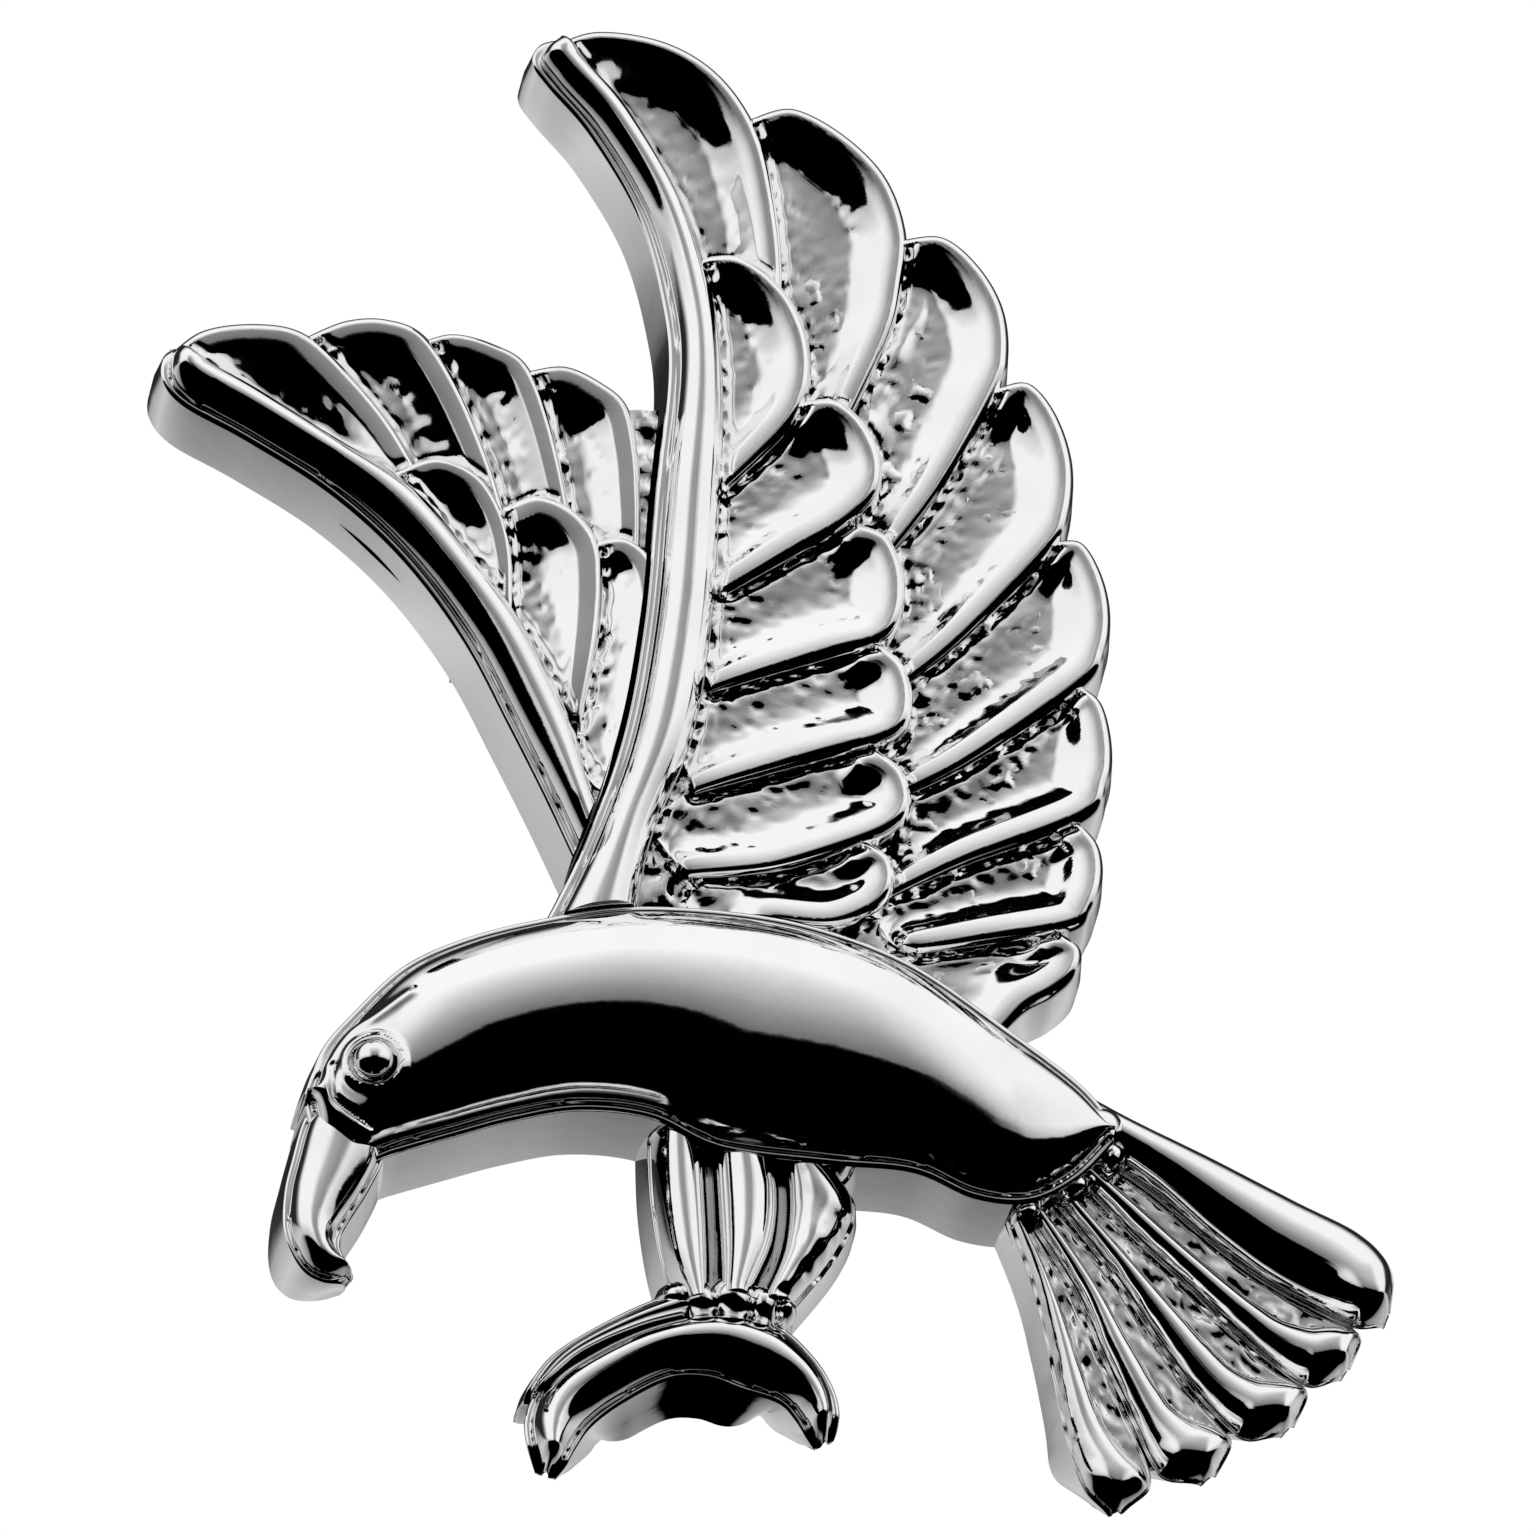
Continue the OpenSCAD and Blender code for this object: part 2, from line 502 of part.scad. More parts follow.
// U-shaped hinge: a base plate on the bar and two ears, drilled for the rivet
module hinge_base() {
    span_z = ear_gap + 2 * ear_t;
    color(WIRE) {
        translate([hinge_x - ear_r, bar_t, -span_z / 2]) cube([2 * ear_r, ear_base, span_z]);
        for (z = [-span_z / 2, ear_gap / 2]) translate([hinge_x, axis_y, z])
            linear_extrude(ear_t) difference() {
                union() {
                    circle(r = ear_r);
                    translate([-ear_r, -rise_h + ear_base / 2]) square([2 * ear_r, rise_h - ear_base / 2]);
                }
                circle(r = rivet_r + seam);
            }
    }
}

module hinge_rivet() {
    reach = ear_gap / 2 + ear_t;
    color(WIRE) translate([hinge_x, axis_y, 0]) {
        cylinder(r = rivet_r, h = 2 * reach, center = true);
        for (s = [-1, 1]) translate([0, 0, s * (reach + rivet_head / 2)])
            cylinder(r = rivet_r + 0.3, h = rivet_head, center = true);
    }
}

// Wire with a drilled knuckle at the hinge and a tapered point in the catch
module pin_stem() {
    color(WIRE) difference() {
        union() {
            translate([hinge_x, axis_y, 0]) cylinder(r = knuckle_r, h = knuckle_w, center = true);
            on_axis(hinge_x + rivet_r) cylinder(r = wire_r, h = point_x - point_l - hinge_x - rivet_r);
            on_axis(point_x - point_l) cylinder(r1 = wire_r, r2 = 0.08, h = point_l);
        }
        translate([hinge_x, axis_y, 0]) cylinder(r = rivet_r + run, h = 2 * knuckle_w, center = true);
    }
}

module catch_housing() {
    color(WIRE) {
        on_axis(catch_x - catch_l / 2) linear_extrude(catch_l) c_section(catch_r, catch_bore, slot_w);
        difference() {
            translate([catch_x - catch_l / 2, bar_t, -catch_foot / 2]) cube([catch_l, rise_h, catch_foot]);
            on_axis(catch_x - catch_l) cylinder(r = catch_bore + catch_t / 2, h = 2 * catch_l);
        }
    }
}

// Split barrel held between two end flanges, with a thumb tab on the outer one
module catch_rotor() {
    half = catch_l / 2 + catch_run;
    color(WIRE) {
        on_axis(catch_x - half) linear_extrude(2 * half) c_section(rotor_r, rotor_bore, slot_w);
        for (x = [-half - flange_t, half]) on_axis(catch_x + x) linear_extrude(flange_t)
            c_section(catch_r - catch_run, rotor_bore, slot_w);
        on_axis(catch_x + half) linear_extrude(flange_t) rotate(-tab_angle)
            translate([rotor_bore + 0.3, -tab_w / 2]) square([tab_r - rotor_bore - 0.3, tab_w]);
        on_axis(catch_x + half) linear_extrude(flange_t) rotate(-tab_angle)
            translate([tab_r, 0]) circle(r = tab_w / 2);
    }
}

near_wing();
far_wing();
body();
tail_fan();
thighs();
talons();
eye();
pin_bar();
hinge_base();
hinge_rivet();
pin_stem();
catch_housing();
catch_rotor();
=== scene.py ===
"""Eagle brooch: polished castings with rounded feather edges, and a satin pin and catch behind."""

import math

import bpy
import numpy as np
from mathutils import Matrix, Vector, noise


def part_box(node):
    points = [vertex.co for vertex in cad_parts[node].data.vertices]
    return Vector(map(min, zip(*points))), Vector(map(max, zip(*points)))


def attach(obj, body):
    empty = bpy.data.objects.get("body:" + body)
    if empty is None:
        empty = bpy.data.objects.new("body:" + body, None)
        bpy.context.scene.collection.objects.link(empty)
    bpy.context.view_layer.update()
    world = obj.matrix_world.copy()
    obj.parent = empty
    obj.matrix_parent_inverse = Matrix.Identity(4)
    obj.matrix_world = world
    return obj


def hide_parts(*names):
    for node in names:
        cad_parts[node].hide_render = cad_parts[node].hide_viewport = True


bl_info = {
    "name": "Eagle Brooch",
    "version": (1, 0, 0),
    "blender": (4, 5, 0),
    "location": "3D View > Sidebar > Brooch",
    "description": "Builds the castings, findings finish and studio of an eagle brooch",
    "category": "Add Mesh",
}

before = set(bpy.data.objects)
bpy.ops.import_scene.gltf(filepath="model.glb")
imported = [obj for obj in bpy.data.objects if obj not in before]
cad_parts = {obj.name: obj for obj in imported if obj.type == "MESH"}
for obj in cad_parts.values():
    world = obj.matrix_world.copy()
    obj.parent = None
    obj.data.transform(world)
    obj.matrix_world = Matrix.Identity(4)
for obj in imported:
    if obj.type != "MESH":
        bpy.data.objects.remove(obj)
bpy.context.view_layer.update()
MM = 0.001

# ---- outlines, [x, z] in millimetres --------------------------------------------------------

NEAR_BEAD = (
    [[-8.6, -13.6], [-6.9, -10.0], [-5.4, -5.6], [-4.6, -1.0], [-4.2, 3.8], [-3.75, 8.4],
     [-4.0, 11.2], [-4.9, 14.5], [-6.6, 17.5], [-8.1, 19.3], [-8.7, 20.2], [-8.5, 20.9], [-8.05, 21.3]],
    [[-5.0, -13.6], [-4.4, -9.6], [-2.9, -5.6], [-2.2, -1.4], [-1.9, 3.0], [-1.75, 7.6],
     [-2.1, 11.4], [-3.2, 15.0], [-5.0, 18.2], [-6.4, 19.9], [-6.9, 20.5], [-7.4, 21.1], [-7.9, 21.35]])
FAR_BEAD = (
    [[-6.4, -12.0], [-8.0, -8.4], [-9.5, -5.3], [-11.2, -2.0], [-13.4, 1.0],
     [-16.0, 3.4], [-19.0, 5.3], [-21.2, 6.5], [-22.0, 7.4], [-22.05, 8.3], [-21.8, 8.8]],
    [[-5.0, -12.0], [-6.2, -8.6], [-7.2, -5.1], [-8.8, -1.7], [-10.7, 1.0],
     [-13.0, 3.7], [-15.9, 5.5], [-18.6, 7.2], [-20.4, 8.2], [-21.1, 8.7], [-21.6, 8.95]])
# Each feather: its exposed edge from the upper end of the tip round to the root, then the hidden root.
NEAR_PRIMARIES = [
    ([[-8.1, 20.9], [-6.4, 21.6], [-3.9, 21.3], [-1.9, 20.1], [-0.5, 18.0], [0.15, 15.3], [0.4, 12.5],
      [0.2, 9.5]],
     [[-1.6, 9.0], [-3.6, 14.5], [-6.0, 18.6]]),
    ([[-0.7, 18.5], [0.8, 18.9], [2.7, 17.9], [4.2, 16.3], [4.9, 14.2], [4.75, 12.2], [4.3, 10.2],
      [2.7, 6.6]],
     [[1.8, 6.2], [0.2, 9.5], [-0.3, 14.0]]),
    ([[4.7, 14.0], [6.2, 14.15], [7.5, 13.1], [8.4, 11.5], [8.6, 9.7], [8.2, 8.2], [6.2, 4.4],
      [4.0, 1.4]],
     [[3.2, 3.2], [3.6, 7.5], [4.3, 11.0]]),
    ([[8.1, 8.4], [9.3, 8.65], [10.3, 7.5], [10.9, 5.6], [10.8, 3.6], [10.1, 2.1], [7.0, -1.3],
      [4.9, -3.1]],
     [[3.8, -2.0], [5.2, 2.6], [7.2, 5.9]]),
    ([[10.2, 2.6], [11.2, 2.6], [11.9, 1.5], [12.25, 0.0], [12.1, -1.6], [11.3, -3.0], [7.4, -5.9],
      [4.9, -7.3]],
     [[3.6, -6.4], [5.6, -3.0], [8.4, 0.4]]),
    ([[11.2, -2.9], [11.95, -3.6], [12.3, -5.2], [12.15, -6.7], [11.3, -8.1], [7.0, -9.9], [4.2, -11.3]],
     [[3.2, -10.2], [5.2, -7.4], [8.4, -5.2]]),
    ([[11.1, -8.1], [11.8, -9.0], [11.95, -10.2], [11.6, -11.5], [10.8, -12.3], [7.6, -12.9],
      [5.3, -13.3]],
     [[4.0, -12.6], [4.4, -11.2], [7.2, -9.8]]),
    ([[10.5, -12.4], [11.15, -13.0], [11.0, -14.0], [10.2, -14.8], [9.1, -15.5], [7.6, -17.2]],
     [[5.0, -15.6], [4.4, -13.6], [7.0, -13.0]])]
NEAR_COVERTS = [
    ([[-2.7, 12.8], [-1.4, 12.95], [-0.2, 12.3], [0.8, 11.1], [1.35, 9.5], [1.3, 7.8], [0.5, 6.2],
      [-1.6, 4.0]],
     [[-2.4, 3.6], [-2.8, 8.0]]),
    ([[0.9, 7.4], [2.2, 7.55], [3.3, 6.7], [3.95, 5.2], [3.75, 3.8], [2.6, 2.6], [0.8, 1.5], [-1.6, 0.0]],
     [[-2.3, 0.2], [-2.3, 3.2], [-0.2, 5.2]]),
    ([[3.2, 2.8], [4.2, 2.3], [4.75, 0.9], [4.65, -0.8], [3.9, -1.8], [2.0, -2.4], [-2.2, -3.8]],
     [[-2.6, -1.6], [-2.2, -0.1], [0.8, 1.4]]),
    ([[3.8, -1.7], [4.7, -2.5], [5.05, -3.7], [4.85, -4.9], [4.0, -5.6], [2.0, -6.2], [-2.8, -7.7]],
     [[-3.2, -5.6], [-2.2, -3.7], [0.8, -2.7]]),
    ([[3.8, -5.8], [4.7, -6.6], [5.0, -7.8], [4.5, -8.8], [3.0, -9.6], [0.0, -10.6], [-3.0, -10.9]],
     [[-4.2, -9.0], [-3.0, -7.6], [0.5, -6.8]]),
    ([[3.4, -9.3], [4.2, -9.9], [4.4, -10.8], [4.1, -11.6], [3.4, -12.2], [2.0, -12.7], [0.0, -12.6]],
     [[-3.0, -12.0], [-2.0, -10.8], [0.4, -10.3]])]
FAR_PRIMARIES = [
    ([[-21.9, 8.4], [-20.6, 9.5], [-18.6, 9.85], [-16.8, 9.5], [-15.0, 7.8], [-13.6, 6.0], [-12.4, 3.8]],
     [[-12.0, 2.2], [-13.6, 2.6], [-16.4, 5.0], [-19.4, 7.0]]),
    ([[-16.9, 9.4], [-15.4, 10.1], [-13.9, 10.2], [-12.5, 9.6], [-11.2, 7.5], [-10.1, 4.7], [-9.4, 2.2]],
     [[-10.4, 1.6], [-12.8, 4.0], [-14.6, 7.2]]),
    ([[-12.7, 9.4], [-11.5, 9.75], [-10.0, 9.4], [-8.8, 8.6], [-7.95, 6.4], [-7.3, 3.3], [-7.1, 1.0]],
     [[-8.6, 0.6], [-9.9, 4.0], [-11.0, 7.2]]),
    ([[-8.9, 8.4], [-7.5, 8.65], [-6.2, 8.1], [-5.2, 7.2], [-4.8, 5.4], [-4.7, 3.0], [-4.8, 0.5]],
     [[-6.6, 0.2], [-7.5, 3.4], [-8.0, 6.4]])]
FAR_COVERTS = [
    ([[-13.8, 4.1], [-12.2, 4.75], [-10.7, 4.2], [-9.8, 2.9], [-9.4, 1.2], [-9.4, -0.9]],
     [[-10.6, 0.4], [-12.0, 2.2]]),
    ([[-9.7, 3.0], [-8.5, 3.45], [-7.2, 2.95], [-6.3, 1.8], [-6.1, 0.2], [-6.3, -2.2], [-6.9, -5.2]],
     [[-8.0, -3.4], [-9.2, -0.8]]),
    ([[-6.4, 1.8], [-5.2, 1.9], [-4.2, 0.8], [-3.9, -1.8], [-4.4, -5.0], [-5.6, -8.4]],
     [[-7.0, -6.0], [-6.4, -2.0]])]
NEAR_WEB = [[-2.2, 12.0], [3.6, 13.0], [7.4, 8.0], [10.0, 2.0], [11.0, -4.0], [10.6, -12.0], [7.0, -17.5],
            [-7.6, -14.6], [-6.0, -10.0]]
FAR_WEB = [[-12.0, 2.8], [-8.8, 4.2], [-6.0, 7.2], [-3.0, 7.3], [-3.0, -12.6], [-6.2, -12.6],
           [-8.4, -5.0]]
BODY = (
    [[-16.8, -19.6], [-16.2, -18.0], [-15.2, -16.7], [-13.3, -14.75], [-11.1, -13.6], [-8.5, -12.8],
     [-5.4, -12.2], [-1.9, -12.2], [1.5, -12.7], [5.0, -14.0], [8.5, -16.4], [11.0, -18.3],
     [12.2, -19.7]],
    [[-16.8, -20.2], [-16.4, -21.4], [-15.2, -22.4], [-13.4, -21.8], [-11.6, -21.2], [-9.4, -20.5],
     [-7.0, -20.0], [-4.4, -20.2], [-1.9, -21.3], [2.0, -21.7], [5.0, -21.9],
     [7.2, -22.8], [9.2, -22.9], [10.9, -22.0], [12.2, -20.6]])
BEAK = (
    [[-16.3, -19.6], [-16.85, -20.7], [-17.2, -22.0], [-17.5, -23.4], [-17.5, -24.9], [-16.9, -26.2],
     [-16.1, -26.7], [-15.3, -26.7]],
    [[-13.9, -20.6], [-13.9, -21.9], [-14.5, -23.3], [-15.2, -24.5], [-15.5, -25.2], [-15.3, -25.8],
     [-14.9, -26.2]])
THIGHS = [
    ([[-4.4, -19.8], [-4.3, -22.5], [-3.9, -25.1], [-3.3, -26.8]],
     [[-2.2, -20.8], [-2.1, -22.5], [-2.0, -24.8], [-2.0, -26.6]]),
    ([[-2.3, -20.8], [-2.2, -22.5], [-2.1, -24.8], [-2.1, -26.6]],
     [[0.2, -20.8], [0.5, -22.5], [0.3, -24.6], [-0.5, -26.6]]),
    ([[0.1, -20.8], [0.4, -22.5], [0.2, -24.6], [-0.6, -26.6]],
     [[1.9, -20.8], [3.1, -22.6], [2.6, -24.4], [0.9, -26.7]])]
NEAR_TALON = (
    [[-8.5, -32.9], [-8.75, -31.2], [-8.1, -29.7], [-6.6, -28.5], [-4.4, -27.4], [-1.9, -26.8],
     [0.2, -27.2], [1.6, -28.4], [2.4, -29.8], [2.6, -31.3]],
    [[-7.4, -33.2], [-6.9, -32.2], [-6.3, -31.3], [-5.2, -30.4], [-3.6, -29.5], [-2.2, -29.4],
     [-1.0, -29.8], [0.3, -30.2], [0.9, -30.8], [1.5, -31.8]])
FAR_TALON = (
    [[-8.9, -30.4], [-7.8, -28.7], [-5.6, -27.2], [-3.6, -26.2]],
    [[-8.1, -30.4], [-6.6, -29.0], [-4.4, -27.9], [-2.4, -27.3]])
TAIL = [
    ([[10.2, -17.6], [13.0, -19.1], [16.0, -20.5], [19.0, -22.0], [21.2, -23.1], [22.3, -24.3],
      [22.5, -25.6]],
     [[11.2, -20.2], [13.6, -21.8], [15.6, -23.5], [17.6, -25.0], [19.6, -26.1], [21.0, -26.7],
      [22.1, -26.6]]),
    ([[11.2, -20.2], [13.6, -21.9], [15.6, -23.6], [17.6, -25.1], [19.6, -26.2], [21.2, -26.9],
      [21.1, -27.8]],
     [[10.6, -21.0], [13.0, -23.5], [14.8, -25.2], [16.6, -26.9], [18.2, -28.3], [19.4, -29.0],
      [20.5, -28.6]]),
    ([[10.6, -21.2], [12.9, -23.6], [14.7, -25.3], [16.5, -27.0], [18.1, -28.4], [19.3, -29.1],
      [19.1, -30.1]],
     [[9.8, -21.8], [12.0, -24.6], [13.4, -26.7], [14.9, -28.9], [16.4, -30.6], [17.2, -31.1],
      [18.3, -30.8]]),
    ([[9.8, -22.0], [11.9, -24.7], [13.3, -26.8], [14.8, -29.0], [16.2, -30.6], [16.6, -31.2],
      [16.3, -32.1]],
     [[8.9, -22.4], [10.9, -25.7], [11.9, -28.1], [12.9, -30.3], [13.7, -32.1], [14.3, -32.7],
      [15.4, -32.7]]),
    ([[8.9, -22.4], [10.8, -25.8], [11.8, -28.2], [12.8, -30.4], [13.6, -32.2], [13.6, -33.1],
      [12.9, -33.7]],
     [[7.6, -20.8], [9.2, -24.8], [9.9, -27.6], [10.4, -30.2], [10.9, -32.2], [11.4, -33.3],
      [12.1, -33.9]])]
TAIL_WEB = [[9.0, -17.5], [12.6, -19.2], [20.2, -25.6], [18.6, -28.0], [16.0, -30.2], [13.0, -31.8],
            [11.6, -31.4], [9.4, -25.2], [8.0, -22.0]]
NEAR_HOLLOW = [[-6.8, 19.6], [-4.2, 20.0], [-1.9, 17.6], [1.6, 16.4], [3.6, 12.6], [6.8, 10.6],
               [8.4, 6.4], [9.8, 1.6], [10.2, -3.0], [10.0, -8.0], [9.2, -12.4], [7.4, -14.6],
               [4.2, -12.2], [0.6, -11.0], [-4.8, -10.8], [-4.0, -5.6], [-3.2, 0.0], [-2.6, 8.0],
               [-3.6, 14.0]]
FAR_HOLLOW = [[-20.8, 7.8], [-17.6, 8.6], [-14.4, 8.6], [-10.6, 8.2], [-7.2, 7.2], [-5.9, 5.2],
              [-5.9, 0.0], [-6.6, -5.6], [-8.4, -4.6], [-10.2, -0.8], [-13.6, 2.8], [-17.6, 5.8]]
BODY_HOLLOW = [[-14.6, -20.6], [-14.2, -17.6], [-11.4, -15.0], [-5.4, -13.6], [1.4, -14.1],
               [6.2, -16.6], [8.3, -18.4], [8.8, -19.9], [7.6, -20.8], [4.8, -20.4], [-1.6, -20.0],
               [-6.4, -18.8], [-11.4, -19.8]]
TAIL_HOLLOW = [[12.6, -20.2], [16.8, -22.2], [20.2, -24.0], [19.8, -26.0], [18.2, -27.8], [15.6, -30.2],
               [12.6, -32.0], [11.6, -30.2], [10.8, -26.4], [10.2, -23.6]]
EYE = (-14.5, -19.0)

# heights, in millimetres, that reach from behind the back rims to beyond the highest crown
THROUGH = (-2, 12)

# how many points stand for a feather's edge when distances to it are measured
FINE_EDGE = 90
EDGE = 60

# materials that every casting has, and their slots, in order
PLATES = ("polished_plate", "cast_plate", "hollow_plate")
POLISHED, CAST, HOLLOW = range(3)

# angles between faces, in degrees, above which an edge is shown sharp
SHARP_CASTING = 42
SHARP_SOLDER = 50


# ---- curves ---------------------------------------------------------------------------------

def smooth_line(points, closed=False, cuts=12):
    """Smooth line through the points, as an array of [x, z]."""
    pts = np.array(points, float)
    if closed:
        around = np.vstack([pts[-1:], pts, pts[:2]])
    else:
        around = np.vstack([pts[:1], pts, pts[-1:]])
    out = []
    for a, b, c, d in zip(around, around[1:], around[2:], around[3:]):
        for t in np.arange(cuts) / cuts:
            out.append(b + (c - a) * t / 2 + (2 * a - 5 * b + 4 * c - d) * t * t / 2
                       + (3 * b - a - 3 * c + d) * t ** 3 / 2)
    if not closed:
        out.append(pts[-1])
    return np.array(out)


def length_of(line):
    return np.linalg.norm(np.diff(line, axis=0), axis=1).sum()


def placed(line, shares):
    """Points at the given shares, 0 to 1, of the line's length."""
    along = np.concatenate([[0], np.cumsum(np.linalg.norm(np.diff(line, axis=0), axis=1))])
    return np.stack([np.interp(shares * along[-1], along, line[:, k]) for k in (0, 1)], 1)


def evenly(line, count):
    return placed(line, np.linspace(0, 1, count))


def bunched(count):
    """Shares from 0 to 1 that lie closer together towards both ends."""
    return (1 - np.cos(np.pi * np.linspace(0, 1, count))) / 2


def distance_to(points, line):
    """Distance of each point to the open line."""
    flat = points.reshape(-1, 2)
    nearest = np.full(len(flat), 1e9)
    for a, b in zip(line[:-1], line[1:]):
        run = b - a
        share = np.clip((flat - a) @ run / max(run @ run, 1e-12), 0, 1)
        nearest = np.minimum(nearest, np.linalg.norm(flat - a - share[:, None] * run, axis=1))
    return nearest.reshape(points.shape[:-1])


def beside(line):
    """Unit vectors square to an open line at each of its points."""
    run = np.gradient(line, axis=0)
    return np.stack([run[:, 1], -run[:, 0]], 1) / np.linalg.norm(run, axis=1)[:, None]


def eased(value, low, high):
    """0 below low, 1 above high and smooth between."""
    t = np.clip((value - low) / (high - low), 0, 1)
    return t * t * (3 - 2 * t)


def fullness(t):
    """How full a roll is at t along its feather: quick to rise at the tip, fading to the root."""
    return np.sin(np.pi * np.clip(t, 0.004, 0.996) ** 0.6) ** 0.55


def ripple(points, size, seed):
    """Smooth random height, about -1 to 1, at each [x, z]."""
    flat = points.reshape(-1, 2) / size
    values = [noise.noise((x, z, seed)) for x, z in flat]
    return 1.6 * np.array(values).reshape(points.shape[:-1])


def bubbles(points, size, seed):
    """Small round pits, 1 at their middle and 0 between them."""
    flat = points.reshape(-1, 2) / size
    nearest = [noise.voronoi(Vector((x, z, seed)))[0][0] for x, z in flat]
    return 1 - eased(np.array(nearest), 0.12, 0.42).reshape(points.shape[:-1])


# ---- solids ---------------------------------------------------------------------------------

def mesh_object(name, verts, faces, slots):
    """A closed mesh with its faces turned outwards, from points in millimetres."""
    mesh = bpy.data.meshes.new(name)
    mesh.from_pydata((np.asarray(verts, float) * MM).tolist(), [], faces)
    mesh.polygons.foreach_set("material_index", slots)
    if volume(mesh) < 0:
        mesh.flip_normals()
    piece = bpy.data.objects.new(name, mesh)
    bpy.context.scene.collection.objects.link(piece)
    return piece


def volume(mesh):
    """Volume inside the mesh, negative if its faces are turned inwards."""
    total = 0.0
    for face in mesh.polygons:
        first, *rest = [mesh.vertices[i].co for i in face.vertices]
        for a, b in zip(rest, rest[1:]):
            total += first.dot(a.cross(b))
    return total


def grid_solid(name, plan, height, floor, zone, draft=None, bulge=0.07):
    """Solid under a grid of [x, z] points: height is its front, floor its back, draft how far the
    back's rim stands out, bulge how far its walls swell, and zone the slot of each front cell."""
    rows, cols = height.shape
    back = plan if draft is None else plan + draft
    front = np.dstack([plan[..., 0], -height, plan[..., 1]]).reshape(-1, 3)
    rear = np.dstack([back[..., 0], np.full_like(height, -floor), back[..., 1]]).reshape(-1, 3)
    at = np.arange(rows * cols).reshape(rows, cols)
    faces = []
    slots = []
    for i in range(rows - 1):
        for j in range(cols - 1):
            quad = (at[i, j], at[i + 1, j], at[i + 1, j + 1], at[i, j + 1])
            faces.append(quad)
            slots.append(int(zone[i, j]))
            faces.append(tuple(v + rows * cols for v in reversed(quad)))
            slots.append(HOLLOW)
    ring = [*at[:, 0][::-1], *at[0, 1:], *at[1:, -1], *at[-1, 1:-1][::-1]]
    middle = (front[ring] + rear[ring]) / 2
    middle[:, [0, 2]] += bulge * outward(middle[:, [0, 2]])
    for i, a in enumerate(ring):
        j = (i + 1) % len(ring)
        b = ring[j]
        between = (2 * rows * cols + i, 2 * rows * cols + j)
        faces.append((a, b, between[1], between[0]))
        faces.append((*between, b + rows * cols, a + rows * cols))
        slots += [POLISHED, POLISHED]
    return mesh_object(name, np.vstack([front, rear, middle]), faces, slots)


def ring_solid(name, rings, slot):
    """Solid through a stack of closed rings of [x, height, z] points."""
    count = len(rings[0])
    faces = []
    for k in range(len(rings) - 1):
        for i in range(count):
            j = (i + 1) % count
            faces.append((k * count + i, k * count + j, (k + 1) * count + j, (k + 1) * count + i))
    faces.append(tuple(reversed(range(count))))
    faces.append(tuple(range((len(rings) - 1) * count, len(rings) * count)))
    verts = np.vstack(rings) * (1, -1, 1)
    return mesh_object(name, verts, faces, [slot] * len(faces))


def outward(outline):
    """Unit vectors that point out of a closed outline at each of its points."""
    run = np.roll(outline, -1, 0) - np.roll(outline, 1, 0)
    side = np.stack([run[:, 1], -run[:, 0]], 1) / np.maximum(np.linalg.norm(run, axis=1), 1e-6)[:, None]
    x, z = outline.T
    turned = np.sum(x * np.roll(z, -1) - np.roll(x, -1) * z)
    return side if turned > 0 else -side


def stacked(name, outline, levels, slot):
    """Solid of an outline at several levels, each a height and how far the outline is grown there."""
    normals = outward(outline)
    rings = []
    for height, grown in levels:
        ring = outline + grown * normals
        rings.append(np.stack([ring[:, 0], np.full(len(ring), height), ring[:, 1]], 1))
    return ring_solid(name, rings, slot)


def combine(base, others, operation):
    """Joins or cuts closed solids into one, and removes the ones used up."""
    for other in others:
        step = base.modifiers.new(operation.lower(), "BOOLEAN")
        step.solver = "MANIFOLD"
        step.operation = operation
        step.object = other
    shaped = base.evaluated_get(bpy.context.evaluated_depsgraph_get())
    mesh = bpy.data.meshes.new_from_object(shaped)
    base.modifiers.clear()
    base.data = mesh
    for other in others:
        bpy.data.objects.remove(other)
    return base


def dress(piece, *materials):
    """Gives a piece these materials alone, in order."""
    piece.data.materials.clear()
    for material in materials:
        piece.data.materials.append(material)


def finish_casting(piece, name, nodes):
    """Names a casting, shades it and puts it in place of its CAD nodes."""
    piece.name = name
    piece.data.name = name
    dress(piece, *[bpy.data.materials[plate] for plate in PLATES])
    piece.data.shade_smooth()
    piece.data.set_sharp_from_angle(angle=math.radians(SHARP_CASTING))
    # level faces, such as the back rims and the floors of the hollows, are shown flat
    for face in piece.data.polygons:
        if abs(face.normal.y) > 0.9995:
            face.use_smooth = False
    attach(piece, "brooch")
    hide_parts(*nodes)


# ---- forms ----------------------------------------------------------------------------------

def strip(left, right, along, across):
    """Grid of points between two lines; along and across place its rows and columns, 0 to 1."""
    a = placed(left, along)
    b = placed(right, along)
    return a[:, None] + (b - a)[:, None] * np.asarray(across)[None, :, None]


def rounded_ends(plan, along, length, caps):
    """The plan narrowed to a round of the given radius at its start and its end, and how full each
    row still is."""
    full = np.ones(len(along))
    for radius, gone in zip(caps, (along * length, (1 - along) * length)):
        if radius:
            full = np.minimum(full, np.sqrt(1 - (1 - np.clip(gone / radius, 0.06, 1)) ** 2))
    full = full[:, None]
    middle = plan.mean(axis=1, keepdims=True)
    return middle + (plan - middle) * (0.45 + 0.55 * full[..., None]), full


